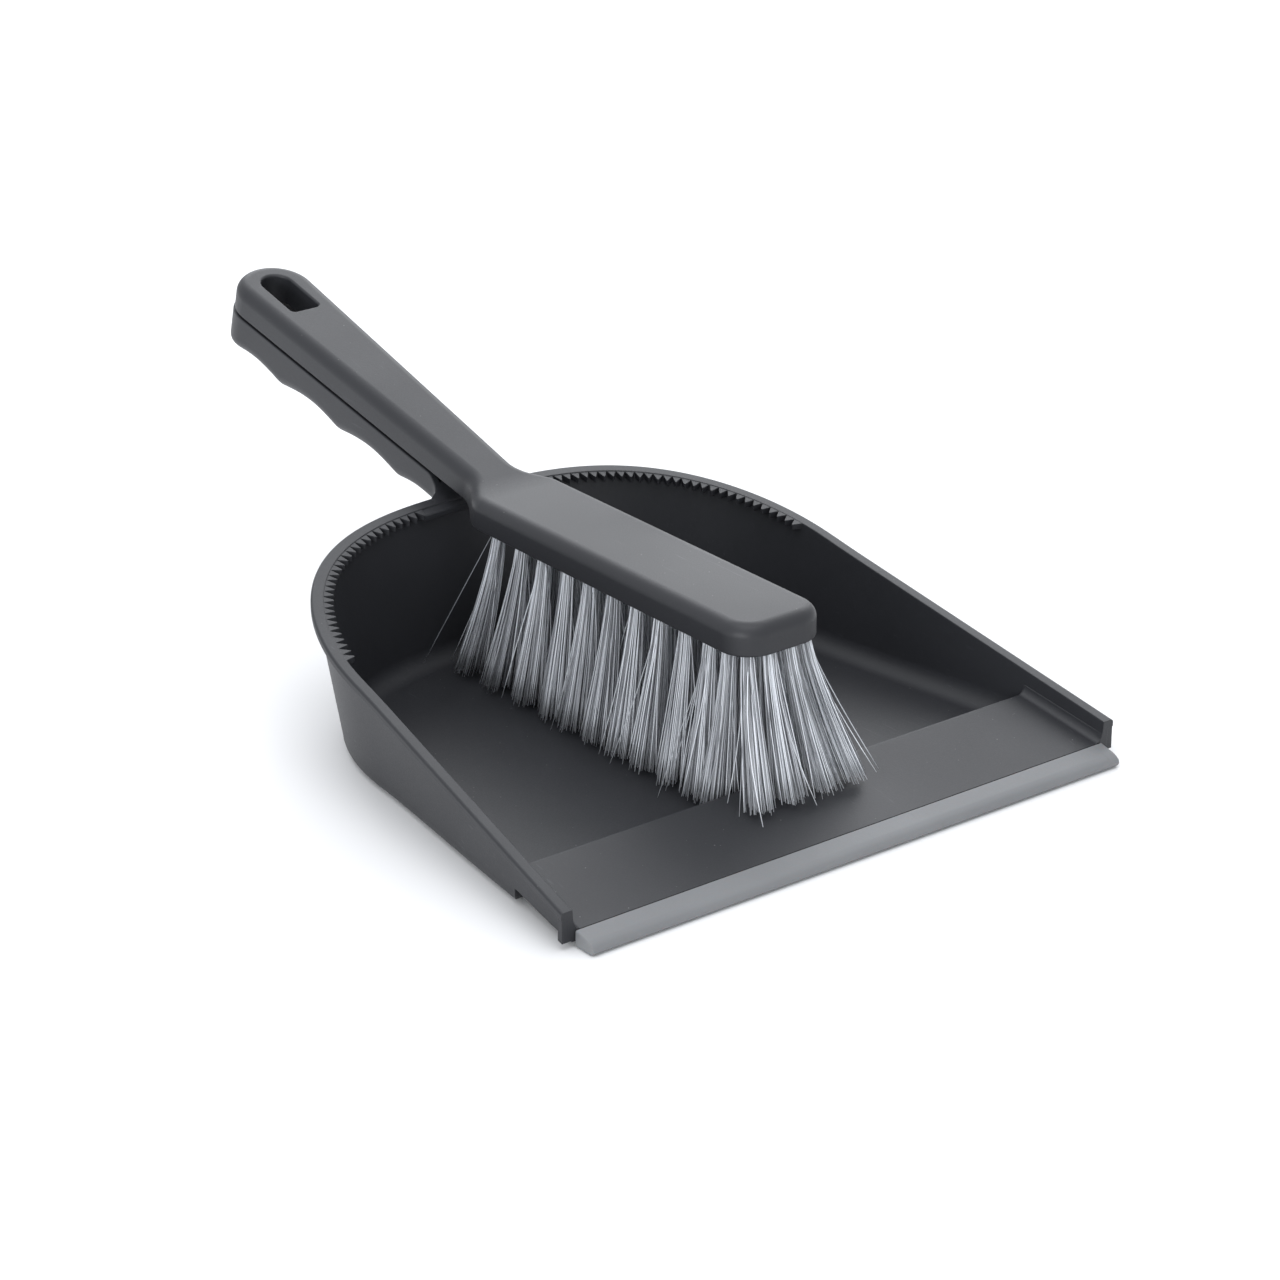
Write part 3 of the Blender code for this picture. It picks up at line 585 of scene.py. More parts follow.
def under_ramp(s):
    """What is open below the ramp: in front of the step, and under the side walls' lower edges."""
    profile = [(AHEAD, UNDER), (s.step_y + s.step_round, UNDER)] + step_arc(s, quarter(0, 8))
    profile += [(s.step_y, s.skirt_rear_z), (s.step_y - 1.7, s.skirt_rear_z),
                (s.front_y, s.skirt_front_z)]
    profile += [(AHEAD, s.skirt_front_z)]
    return straight_across("under_ramp", profile, lambda y, z: 125.0)


def floor_ahead(s):
    """The strip of tray floor that the ramp replaces, between the side walls."""
    rear, high = s.step_y + 1.1, s.floor_thick + 0.2
    profile = [(AHEAD, UNDER), (rear, UNDER), (rear, high), (AHEAD, high)]
    return straight_across("floor_ahead", profile, lambda y,
                           z: wall_middle(s, np.maximum(y, s.front_y), z) - 1.0)


def ramp(s):
    """Ramp plate and the step under its ridge. The profile runs across the pan, and its upper points
    rise along a quarter circle where they meet the side walls: r less the root of r squared less d
    squared."""
    heel = s.ramp_front_y + 6
    upper = [(s.ramp_front_y, s.ramp_front_z)]
    upper += [(y, ramp_z(s, y)) for y in np.linspace(s.ramp_front_y + 3, s.ridge_y - 0.8, 10)]
    upper += [(s.ridge_y - 0.35, ramp_z(s, s.ridge_y - 0.35)), (s.ridge_y, s.ridge_z - 0.05)]
    upper += [(s.ridge_y + 0.4, s.ridge_z - 0.35)]
    lower = [(s.ridge_y + 1.4, s.floor_thick - 0.8)] + step_arc(s, quarter(30, 6), 0.1)
    lower += [(s.step_y + 0.1, ramp_z(s, s.step_y) - s.ramp_thick),
              (heel, ramp_z(s, heel) - s.ramp_thick)]
    lower += [(s.ramp_front_y + 1.5, TONGUE_LOW), (s.ramp_front_y, TONGUE_LOW)]
    profile = np.array(upper + lower)
    raised = np.arange(len(profile)) < len(upper)
    half = wall_middle(s, profile[:, 0], profile[:, 1])
    face = half - beside_ramp(s, profile[:, 0], profile[:, 1], s.rim_width)
    fillet = s.ramp_round
    right = [np.column_stack([half, profile[:, 0], profile[:, 1] + raised * fillet])]
    for turn in quarter(0, 7):
        run, rise = fillet * (1 - math.cos(turn)), fillet * (1 - math.sin(turn))
        right.append(np.column_stack([half - face - run, profile[:, 0], profile[:, 1] + raised * rise]))
    right = right[::-1]
    left = [column * (-1, 1, 1) for column in right[::-1]]
    return across_pan("ramp", left + right)


def tongue(s):
    """The flat tongue ahead of the ramp that carries the lip."""
    rear = s.ramp_front_y + 1.0
    profile = [(TONGUE_FRONT, TONGUE_LOW), (TONGUE_FRONT, TONGUE_HIGH), (rear, TONGUE_HIGH),
               (rear, 1.9),
               (s.ramp_front_y, TONGUE_LOW)]
    return straight_across("tongue", profile, lambda y, z: s.tongue_half)


def end_rib(s, side):
    """The rim's flange turned down over the front end of a side wall."""
    outer, inner = side * (s.front_half - 0.25), side * (s.front_half - s.rim_width + 0.5)
    low, front, rear = s.skirt_front_z + 0.05, s.front_y + 0.05, s.front_y + 2.0
    section = np.array([(front, low), (rear, low + 0.5), (rear, rim_z(s, rear) - 0.5),
                        (front, rim_z(s, s.front_y) - 0.5)])
    columns = [np.column_stack([np.full(4, x), section]) for x in (outer, inner)]
    return across_pan("rib", columns)


def comb(s, side):
    """Row of teeth along the rim's inner edge: one flat strip whose inner edge steps between root and
    tip."""
    fine = even_points(rim_outline(s), 0.2)
    normal = inward(fine)
    run = np.flatnonzero((fine[:, 0] >= s.comb_from_x) & (fine[:, 1] >= s.comb_to_y))
    gap = np.linalg.norm(fine[1] - fine[0])
    teeth = int(round((run[-1] - run[0]) * gap / s.tooth_pitch))
    pitch = (run[-1] - run[0]) / teeth
    starts = run[0] + np.arange(teeth)[:, None] * pitch
    places = (starts + np.array(TOOTH_STEPS) * pitch).ravel()
    flank = s.tooth_tip - TOOTH_FLANK
    depth = np.tile([s.tooth_root, flank, s.tooth_tip, s.tooth_tip, flank, s.tooth_root], teeth)
    back = np.linspace(run[-1] - 0.08 * pitch, run[0], 90)

    def at(position, offset):
        index = np.round(position).astype(int)
        return fine[index] + normal[index] * np.asarray(offset)[..., None]

    outline = np.vstack([at(places, depth), at(back, np.full(len(back), BAND_REAR))]) * (side, 1)
    top = rim_z(s, outline[:, 1]) - 0.06
    return across_pan("comb", [at_height(outline, top - s.comb_thick), at_height(outline, top)])


def rim_band(s):
    """The plain part of the comb's strip, across the handle's root between the two rows of teeth."""
    path = rim_outline(s)[::-1]
    columns = []
    for x in np.linspace(-1, 1, 17) * (s.comb_from_x + 1.2):
        y = np.interp(abs(x), path[:, 0], path[:, 1])
        rear, front = y - BAND_REAR, y - s.tooth_tip
        top = rim_z(s, np.array([rear, front])) - 0.3
        columns.append([(x, rear, top[0]), (x, front + 0.4, top[1] + 0.08), (x, front, top[1] - 0.35),
                        (x, front, top[1] - s.comb_thick), (x, rear, top[0] - s.comb_thick)])
    return across_pan("rim_band", columns)


def grip_depth(s, along):
    """How far the pan handle reaches below the parting line: a straight deepening plus hollows for
    the fingers with narrow crests between them, one less twice the size of a sine, eased at its
    crest."""
    t = np.clip((along - s.handle_from) / (s.handle_end - s.handle_from), 0.0, 1.0)
    wave = 1 - 2 * np.sqrt(np.sin(math.pi * (along - s.grip_first) / s.grip_pitch) ** 2 + CREST_EASE)
    grown = smooth((along - s.handle_from) / (s.grip_first - s.handle_from))
    return s.root_depth + (s.end_depth - s.root_depth) * t + s.grip_height * wave * grown


def pan_half(s, b, along):
    """Half width of the pan handle, with a fillet of 3.5 mm where it meets the rim."""
    flare = 3.5
    reach = np.clip(s.handle_from + 2.0 + flare - along, 0.0, flare)
    return b.neck_half + b.widening * (along - b.fold_y) + flare - np.sqrt(flare ** 2 - reach ** 2)


def pan_top(s, b, along):
    """Upper edge of the pan handle: it climbs from the rim to just under the parting line."""
    rim_level = rim_z(s, s.back_y) - 0.4 - folded([(0, s.handle_from, 0)], b)[0, 2]
    t = smooth((along - s.handle_from - 1) / (TOP_LEVEL_FROM - s.handle_from - 1))
    return rim_level + (-PART_GAP - rim_level) * t


def pan_handle_outline(s, b, start):
    radius = pan_half(s, b, s.handle_end - pan_half(s, b, s.handle_end))
    stops = np.linspace(start, s.handle_end - pan_half(s, b, s.handle_end) - 1.5, 72)
    side = np.column_stack([pan_half(s, b, stops), stops])
    return np.vstack([side, half_circle(s.handle_end, radius, 18)])


def pan_handle_outside(s, b):
    """Underside with finger grips, its rounding, upright sides and the eased upper edge."""
    outline = pan_handle_outline(s, b, s.handle_from)
    top = pan_top(s, b, outline[:, 1])
    depth = grip_depth(s, outline[:, 1])
    rounding = np.minimum(s.handle_round, top + depth - 0.8)
    rings = []
    for turn in quarter(0, 7):
        ring = inset(outline, s.handle_round * (1 - math.sin(turn)), square_end=True)
        level = rounding * (1 - math.cos(turn)) - grip_depth(s, ring[:, 1])
        rings.append(np.column_stack([ring, level]))
    for turn in quarter(0, 3):
        ring = inset(outline, EDGE_EASE * (1 - math.cos(turn)), square_end=True)
        rings.append(np.column_stack([ring,
                                      pan_top(s, b, ring[:, 1]) - EDGE_EASE * (1 - math.sin(turn))]))
    rings = np.array(rings)
    rings[:, 0, 1] = s.handle_from + ROOT_LEAN * (rings[:, 0, 2] - rings[-1, 0, 2]) - ROOT_OVERLAP
    return half_stack("pan_handle", folded(rings, b))


def pan_trough(s, b):
    """The open channel in the pan handle, from just behind the rim."""
    outline = inset(pan_handle_outline(s, b, s.trough_from), b.wall, square_end=True)
    rings = []
    for rise, run in ((0.0, 2.6), (0.25, 1.5), (0.8, 0.8), (1.6, 0.2), (2.6, 0.0)):
        ring = inset(outline, run, square_end=True)
        rings.append(np.column_stack([ring, rise - grip_depth(s, ring[:, 1]) + b.wall]))
    rings.append(at_height(outline, 6.0))
    return half_stack("pan_trough", folded(rings, b))


def hole_outline(b, grow=0.0):
    """The hanging hole's outline: eased corners at the front, a half circle at the back."""
    half = b.hole_half + grow
    corner = b.hole_corner + grow
    angle = np.linspace(0, math.pi / 2, 7)
    front = np.column_stack([half - corner + corner * np.sin(angle),
                             b.hole_from - grow + corner * (1 - np.cos(angle))])
    return np.vstack([front, half_circle(b.hole_to + grow, half, 14)])


def hole_solid(name, b, low, high, grow=0.0):
    outline = hole_outline(b, grow)
    return half_stack(name, folded([at_height(outline, low), at_height(outline, high)], b))


def eased_hole(b):
    """The hanging hole through the brush handle, opening in a quarter circle at its upper edge."""
    ease = 0.9
    rings = [at_height(hole_outline(b), -5.0)]
    for turn in quarter(0, 5):
        grow = ease * (1 - math.cos(turn))
        rings.append(at_height(hole_outline(b, grow), b.thick - ease * (1 - math.sin(turn)) + 0.02))
    rings.append(at_height(hole_outline(b, ease + 0.1), b.thick + 1.0))
    return half_stack("body_hole", folded(rings, b))


def make_pan(s, b):
    pan = tray_outside(s)
    pan.name = pan.data.name = "dustpan_moulding"
    middle = (b.hole_from + b.hole_to) / 2
    boss_low = b.wall / 2 - grip_depth(s, middle)
    combine(pan, [
        (tray_inside(s), "DIFFERENCE"),
        (under_ramp(s), "DIFFERENCE"),
        (floor_ahead(s), "DIFFERENCE"),
        (ramp(s), "UNION"),
        (tongue(s), "UNION"),
        (end_rib(s, 1), "UNION"),
        (comb(s, 1), "UNION"),
        (end_rib(s, -1), "UNION"),
        (comb(s, -1), "UNION"),
        (rim_band(s), "UNION"),
        (pan_handle_outside(s, b), "UNION"),
        (pan_trough(s, b), "DIFFERENCE"),
        (hole_solid("pan_boss", b, boss_low, -PART_GAP - 0.3, b.boss_wall), "UNION"),
        (hole_solid("pan_hole", b, -25.0, 5.0), "DIFFERENCE"),
    ])
    moulded(pan)
    return pan


def make_lip(s):
    """The lip's profile carried across the pan; near each end it is drawn in along a quarter circle."""
    rear = s.ramp_front_y - 0.4
    upper = [(rear, s.ramp_front_z + 0.05), (5.6, 4.55), (3.0, 3.95), (2.55, 3.82)]
    slot_front, slot_low, slot_high = TONGUE_FRONT - 0.3, TONGUE_LOW - 0.3, TONGUE_HIGH + 0.3
    slot = [(rear, 0.0), (rear, slot_low), (slot_front, slot_low), (slot_front, slot_high),
            (rear, slot_high)]
    profile = np.array(upper + LIP_NOSE + slot)
    closed = profile.copy()
    closed[-4:, 0] = np.maximum(closed[-4:, 0], rear - 0.05)
    half, ease = LIP_HIGH.x / MM, 0.5
    middle = np.array([rear, 2.5])
    right = [np.column_stack([np.full(len(profile), s.tongue_half + 0.3), profile])]
    right.append(np.column_stack([np.full(len(profile), s.tongue_half + 0.32), closed]))
    for turn in quarter(0, 5):
        pulled = np.minimum(np.abs(middle - closed), ease * (1 - math.cos(turn)))
        pulled = closed + np.sign(middle - closed) * pulled
        right.append(np.column_stack([np.full(len(profile), half - ease * (1 - math.sin(turn))),
                                      pulled]))
    left = [column * (-1, 1, 1) for column in right[::-1]]
    lip = across_pan("lip", left + right)
    moulded(lip)
    return lip


# ---------------------------------------------------------------- the brush

def body_half(b, along):
    """Half width of the brush: the block, a half cosine down the shoulders, then the widening
    handle."""
    handle = b.neck_half + b.widening * (along - b.fold_y)
    t = np.clip((along - b.shoulder_from) / (b.shoulder_to - b.shoulder_from), 0.0, 1.0)
    return b.block_half + (handle - b.block_half) * (1 - np.cos(math.pi * t)) / 2


def body_outline(b):
    angle = np.linspace(0, math.pi / 2, 19)
    corner = np.column_stack([b.block_half - b.block_corner + b.block_corner * np.sin(angle),
                              b.block_front + b.block_corner * (1 - np.cos(angle))])
    radius = body_half(b, b.end - body_half(b, b.end))
    # Few stops along the straight sides, many round the shoulders.
    stops = np.concatenate([np.linspace(56, 162, 14),
                            np.linspace(b.shoulder_from - 3, b.shoulder_to + 3, 40),
                            np.linspace(197, b.end - radius - 4, 20)])
    side = np.column_stack([body_half(b, stops), stops])
    return np.vstack([corner, side, half_circle(b.end, radius, 18)])


def tuft_facts():
    """For every tuft node its name, the middles of its top and bottom rings and the bottom ring's
    radius, all in millimetres behind the lip's front, as the frame's mesh gives them."""
    found = []
    for name in TUFTS:
        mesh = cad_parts[name].data
        points = np.empty(len(mesh.vertices) * 3, np.float32)
        mesh.vertices.foreach_get("co", points)
        points = (points.reshape(-1, 3) - (0, CAD_LOW.y, 0)) / MM
        top = points[points[:, 2] > points[:, 2].max() - RING_TOLERANCE]
        low = points[points[:, 2] < points[:, 2].min() + RING_TOLERANCE]
        root, tip = (top.min(0) + top.max(0)) / 2, (low.min(0) + low.max(0)) / 2
        found.append((name, root, tip, (low.max(0) - low.min(0))[0] / 2))
    return found


def sockets(b):
    """The drilled holes for the tufts: upright prisms of one radius at each tuft's root."""
    roots = np.array([root for _, root, _, _ in tuft_facts()])
    sides = 18
    angle = 2 * math.pi * (np.arange(sides) + 0.3) / sides
    ring = np.stack([np.cos(angle), np.sin(angle)], axis=-1) * b.socket_radius
    levels = np.array([-1.0, b.socket_depth]) + b.part_z
    points = np.zeros((len(roots), 2, sides, 3))
    points[..., :2] = roots[:, None, None, :2] + ring
    points[..., 2] = levels[None, :, None]
    first = np.arange(len(roots))[:, None] * 2 * sides
    here = np.arange(sides)[None, :]
    there = (here + 1) % sides
    walls = np.stack([first + here, first + there, first + sides + there, first + sides + here], -1)
    lids = np.concatenate([first + here, first + sides + here]).tolist()
    return solid("sockets", points, walls.reshape(-1, 4).tolist() + lids)


def make_body(b):
    """Block, shoulders and handle: the outline, eased below and rounded over above."""
    outline = body_outline(b)
    rings = []
    for turn in quarter(0, 3):
        rings.append(at_height(inset(outline, 0.6 * (1 - math.sin(turn))), 0.6 * (1 - math.cos(turn))))
    for turn in quarter(0, 12):
        run = b.edge_round * (1 - math.cos(turn))
        rings.append(at_height(inset(outline, run), b.thick - b.edge_round * (1 - math.sin(turn))))
    body = half_stack("brush_moulding", folded(rings, b))

    stops = np.linspace(HOLLOW_FROM, b.end - HOLLOW_SHORT, 24)
    hollow = np.column_stack([body_half(b, stops) - b.wall, stops])
    hollow_end = b.end - b.wall
    hollow = np.vstack([hollow, half_circle(hollow_end, body_half(b, hollow_end - 12) - b.wall, 12)])
    roof = b.thick - HOLLOW_ROOF
    rings = [at_height(inset(hollow, run, square_end=True), level)
             for level, run in ((-3.0, 0.0), (roof - 2, 0.0), (roof - 0.6, 0.6), (roof, 2.0))]
    combine(body, [
        (sockets(b), "DIFFERENCE"),
        (half_stack("handle_hollow", folded(rings, b)), "DIFFERENCE"),
        (hole_solid("body_boss", b, 0.3, b.thick - 1.0, b.boss_wall), "UNION"),
        (eased_hole(b), "DIFFERENCE"),
    ])
    moulded(body)
    return body


def filament_paths(roots, tips, spreads, f, s, rng, part_z):
    """Centre lines of all filaments of some tufts, as (tuft, filament, station, xyz).

    Filament k starts at a sunflower place in its socket, radius growing with the root of k, and ends
    at the same place spread wider, moved by its clump, its own wander and, for a few, a stray.
    Between them it leans as t to the power 1.25 and sways by a small half sine."""
    tufts, count = len(roots), f.count
    k = np.arange(count) + 0.5
    angle = k * math.pi * (3 - math.sqrt(5)) + rng.uniform(0, 6.28, (tufts, 1))
    disc = np.sqrt(k / count)[None, :, None] * np.stack([np.cos(angle), np.sin(angle)], axis=-1)
    disc = disc + rng.normal(0, DISC_SCATTER, disc.shape)
    sector = np.floor((angle % (2 * math.pi)) / (2 * math.pi) * SECTORS).astype(int)
    clump = sector * 2 + (k > count * CORE_SHARE)
    pull = rng.normal(0, CLUMP_PULL, (tufts, 2 * SECTORS + 2, 2))
    ends = disc * (spreads[:, None, None] * f.spread)
    ends += np.take_along_axis(pull, clump[..., None], axis=1)
    ends += rng.normal(0, f.wander * 0.55, ends.shape)
    stray = rng.random((tufts, count, 1)) < f.stray_share
    ends += stray * rng.normal(0, f.stray_reach, ends.shape)
    t = np.linspace(0, 1, STATIONS)[None, None, :, None]
    lean = (tips - roots)[:, None, None, :2]
    start = disc[:, :, None] * f.root_radius
    sway = rng.normal(0, SWAY, (tufts, count, 1, 2)) * np.sin(math.pi * t ** 0.8)
    sway = sway + stray[:, :, None] * rng.normal(0, STRAY_SWAY,
                                                 (tufts, count, 1, 2)) * np.sin(math.pi * t)
    across = roots[:, None, None, :2] + start * (1 - t ** 1.1) + ends[:, :, None] * t ** 1.1
    across = across + lean * t ** 1.25 + sway
    rest = tips[:, None, 2] + rng.uniform(-0.35, 1.0, (tufts, count)) * f.cut
    tip_xy = across[:, :, -1]
    on_ramp = ramp_z(s, np.minimum(tip_xy[..., 1], s.ridge_y))
    ground = np.where(tip_xy[..., 1] < s.ridge_y + 1.2, on_ramp, s.floor_thick) + 0.3
    low = np.maximum(rest, ground)
    z = part_z + (low - part_z)[:, :, None, None] * t
    return np.concatenate([across, z], axis=-1)


def filament_mesh(name, paths, width, rng):
    """Four-sided threads along the centre lines: each station carries a small square in the level
    plane, turned by the filament's own angle; the first square sits up in the socket and the last is
    drawn in a little."""
    tufts, count, stations = paths.shape[:3]
    threads = paths.reshape(-1, stations, 3)
    up_in_socket = threads[:, :1] + (0, 0, SOCKET_REACH)
    threads = np.concatenate([up_in_socket, threads], axis=1)
    stations += 1
    total = tufts * count
    turn = rng.uniform(0, math.pi / 2, (total, 1, 1)) + np.arange(4) * math.pi / 2
    girth = width / 2 * rng.uniform(0.82, 1.18, (total, 1, 1)) * np.ones((1, stations, 1))
    girth[:, -1] *= END_TAPER
    corner = np.stack([np.cos(turn) * girth, np.sin(turn) * girth, np.zeros((total, stations, 4))],
                      axis=-1)
    points = (threads[:, :, None] + corner) * MM + (0, CAD_LOW.y, 0)
    first = (np.arange(total) * stations * 4)[:, None, None]
    row = (np.arange(stations - 1) * 4)[None, :, None]
    here = np.arange(4)[None, None, :]
    there = (here + 1) % 4
    walls = np.stack([first + row + there, first + row + here, first + row + 4 + here,
                      first + row + 4 + there], -1)
    top = first[:, 0] + np.array([[0, 1, 2, 3]])
    end = first[:, 0] + (stations - 1) * 4 + np.array([[3, 2, 1, 0]])
    faces = np.concatenate([walls.reshape(-1, 4), top, end])
    mesh = bpy.data.meshes.new(name)
    mesh.vertices.add(total * stations * 4)
    mesh.vertices.foreach_set("co", points.astype(np.float32).ravel())
    mesh.loops.add(faces.size)
    mesh.loops.foreach_set("vertex_index", faces.astype(np.int32).ravel())
    mesh.polygons.add(len(faces))
    mesh.polygons.foreach_set("loop_start", np.arange(0, faces.size, 4, dtype=np.int32))
    mesh.update(calc_edges=True)
    mesh.validate()
    mesh.shade_smooth()
    tone = rng.random((tufts, count))
    tone[:, 0] = 0.0    # the first of each tuft, which may be the one long stray, is the darkest
    tone = np.repeat(tone.ravel(), stations * 4)
    reach = np.tile(np.repeat(np.linspace(0, 1, stations), 4), total)
    for key, values in (("tone", tone), ("reach", reach)):
        mesh.attributes.new(key, "FLOAT", "POINT").data.foreach_set("value", values.astype(np.float32))
    thing = bpy.data.objects.new(name, mesh)
    bpy.context.scene.collection.objects.link(thing)
    return thing


def make_anchors(b):
    """One bent wire in each socket, over which its tuft is folded: a round section carried along a
    half circle with two short legs, in the plane across the brush."""
    roots = np.array([root for _, root, _, _ in tuft_facts()])
    bend = np.radians(np.linspace(0, 180, 9))
    legs = np.array([[WIRE_HALF, WIRE_LEG], [WIRE_HALF, -0.6]])
    arch = np.column_stack([WIRE_HALF * np.cos(bend), WIRE_RISE * np.sin(bend)])
    line = np.vstack([legs, arch, legs[::-1] * (-1, 1)])
    along = np.gradient(line, axis=0)
    along /= np.linalg.norm(along, axis=1, keepdims=True)
    sides = WIRE_SIDES
    angle = 2 * math.pi * np.arange(sides) / sides
    section = np.zeros((len(line), sides, 3))
    section[..., 0] = line[:, :1] - along[:, 1:] * np.cos(angle) * WIRE_RADIUS
    section[..., 1] = np.sin(angle) * WIRE_RADIUS
    section[..., 2] = line[:, 1:] + along[:, :1] * np.cos(angle) * WIRE_RADIUS
    height = b.part_z + b.socket_depth - WIRE_DEPTH
    places = np.column_stack([roots[:, :2], np.full(len(roots), height)])
    points = places[:, None, None] + section
    base = np.array(ring_faces(len(line), sides))
    step = len(line) * sides
    faces = (base[None] + (np.arange(len(roots)) * step)[:, None, None]).reshape(-1, 4).tolist()
    lids = np.array([np.arange(sides), np.arange(sides) + step - sides])
    faces += (lids[None] + (np.arange(len(roots)) * step)[:, None, None]).reshape(-1, sides).tolist()
    wires = solid("tuft_anchors", points, faces)
    wires.data.shade_smooth()
    return wires


# ---------------------------------------------------------------- finishes

def new_group(name, inputs, outputs):
    """An empty shader node group with named sockets: (name, socket kind, default)."""
    tree = bpy.data.node_groups.new(name, "ShaderNodeTree")
    for label, kind, default in inputs:
        made = tree.interface.new_socket(label, in_out="INPUT", socket_type=kind)
        if default is not None:
            made.default_value = default
    for label, kind in outputs:
        tree.interface.new_socket(label, in_out="OUTPUT", socket_type=kind)
    return tree, tree.nodes.new("NodeGroupInput"), tree.nodes.new("NodeGroupOutput")


def math_node(tree, operation, first, second=None, clamp=False):
    made = tree.nodes.new("ShaderNodeMath")
    made.operation = operation
    made.use_clamp = clamp
    for socket, value in zip(made.inputs, (first, second)):
        if value is None:
            continue
        if isinstance(value, (int, float)):
            socket.default_value = value
        else:
            tree.links.new(value, socket)
    return made.outputs[0]


def noise(tree, vector, scale, detail=2.0, roughness=0.5):
    made = tree.nodes.new("ShaderNodeTexNoise")
    made.inputs["Detail"].default_value = detail
    made.inputs["Roughness"].default_value = roughness
    tree.links.new(vector, made.inputs["Vector"])
    if isinstance(scale, (int, float)):
        made.inputs["Scale"].default_value = scale
    else:
        tree.links.new(scale, made.inputs["Scale"])
    return made.outputs["Fac"]


def spread_out(tree, value, low, high):
    """A value from low to high stretched to 0 to 1."""
    made = tree.nodes.new("ShaderNodeMapRange")
    made.inputs["From Min"].default_value = low
    made.inputs["From Max"].default_value = high
    made.interpolation_type = "SMOOTHSTEP"
    tree.links.new(value, made.inputs["Value"])
    return made.outputs["Result"]


def mixed(tree, factor, first, second):
    made = tree.nodes.new("ShaderNodeMix")
    made.data_type = "RGBA"
    tree.links.new(factor, made.inputs["Factor"])
    for socket, value in ((made.inputs["A"], first), (made.inputs["B"], second)):
        if isinstance(value, tuple):
            socket.default_value = (*value, 1.0)
        else:
            tree.links.new(value, socket)
    return made.outputs["Result"]


def mould_grain_group():
    """Fine eroded grain of a moulding tool: two sizes of noise, added, as a height from 0 to 1."""
    tree, given, made = new_group(
        "mould_grain",
        [("Vector", "NodeSocketVector", None), ("Grains per metre", "NodeSocketFloat", 2200.0),
         ("Coarse share", "NodeSocketFloat", 0.35)],
        [("Height", "NodeSocketFloat"), ("Mask", "NodeSocketFloat")])
    fine = noise(tree, given.outputs["Vector"], given.outputs["Grains per metre"], 2.0, 0.6)
    slower = math_node(tree, "MULTIPLY", given.outputs["Grains per metre"], 0.28)
    coarse = noise(tree, given.outputs["Vector"], slower, 1.0)
    share = math_node(tree, "MULTIPLY", coarse, given.outputs["Coarse share"])
    tree.links.new(math_node(tree, "ADD", fine, share), made.inputs["Height"])
    tree.links.new(spread_out(tree, fine, 0.35, 0.65), made.inputs["Mask"])
    return tree


def handling_group():
    """Slow changes of tone from flow in the mould and from use, and fine scuffs drawn out along the
    piece."""
    tree, given, made = new_group(
        "handling_marks",
        [("Vector", "NodeSocketVector", None), ("Patches per metre", "NodeSocketFloat", 14.0),
         ("Scuffs per metre", "NodeSocketFloat", 900.0), ("Scuff amount", "NodeSocketFloat", 0.4)],
        [("Patch", "NodeSocketFloat"), ("Scuff", "NodeSocketFloat")])
    patch = noise(tree, given.outputs["Vector"], given.outputs["Patches per metre"], 3.0)
    tree.links.new(spread_out(tree, patch, 0.3, 0.7), made.inputs["Patch"])
    drawn = tree.nodes.new("ShaderNodeMapping")
    drawn.inputs["Scale"].default_value = (1.0, 0.05, 0.6)
    drawn.inputs["Rotation"].default_value = (0.0, 0.0, 0.3)
    tree.links.new(given.outputs["Vector"], drawn.inputs["Vector"])
    line = noise(tree, drawn.outputs["Vector"], given.outputs["Scuffs per metre"], 2.0, 0.55)
    thin = spread_out(tree, line, 0.64, 0.74)
    where = noise(tree, given.outputs["Vector"], 26.0, 1.0)
    some = spread_out(tree, where, 0.5, 0.68)
    scuff = math_node(tree, "MULTIPLY", math_node(tree, "MULTIPLY", thin, some),
                      given.outputs["Scuff amount"])
    tree.links.new(scuff, made.inputs["Scuff"])
    return tree


def dust_group():
    """Specks of dust that lie on what faces up: small dots of fine noise where the normal points up."""
    tree, given, made = new_group(
        "settled_dust",
        [("Vector", "NodeSocketVector", None), ("Normal", "NodeSocketVector", None),
         ("Specks per metre", "NodeSocketFloat", 1500.0), ("Amount", "NodeSocketFloat", 0.3)],
        [("Mask", "NodeSocketFloat")])
    dots = tree.nodes.new("ShaderNodeTexVoronoi")
    tree.links.new(given.outputs["Vector"], dots.inputs["Vector"])
    tree.links.new(math_node(tree, "MULTIPLY", given.outputs["Specks per metre"], 0.2),
                   dots.inputs["Scale"])
    near = tree.nodes.new("ShaderNodeMapRange")
    near.inputs["From Min"].default_value = 0.09
    near.inputs["From Max"].default_value = 0.03
    tree.links.new(dots.outputs["Distance"], near.inputs["Value"])
    rare = spread_out(tree, noise(tree, given.outputs["Vector"], given.outputs["Specks per metre"],
                                  0.0), 0.52, 0.6)
    split = tree.nodes.new("ShaderNodeSeparateXYZ")
    tree.links.new(given.outputs["Normal"], split.inputs[0])
    up = spread_out(tree, split.outputs["Z"], 0.55, 0.95)
    specks = math_node(tree, "MULTIPLY", math_node(tree, "MULTIPLY", near.outputs["Result"], rare), up)
    tree.links.new(math_node(tree, "MULTIPLY", specks, given.outputs["Amount"]), made.inputs["Mask"])
    return tree


def start_material(name):
    made = bpy.data.materials.new(name)
    made.use_nodes = True
    tree = made.node_tree
    place = tree.nodes.new("ShaderNodeTexCoord").outputs["Object"]
    return made, tree, tree.nodes["Principled BSDF"], place


def use_group(tree, group, vector, **values):
    made = tree.nodes.new("ShaderNodeGroup")
    made.node_tree = group
    tree.links.new(vector, made.inputs["Vector"])
    for key, value in values.items():
        made.inputs[key.replace("_", " ")].default_value = value
    return made


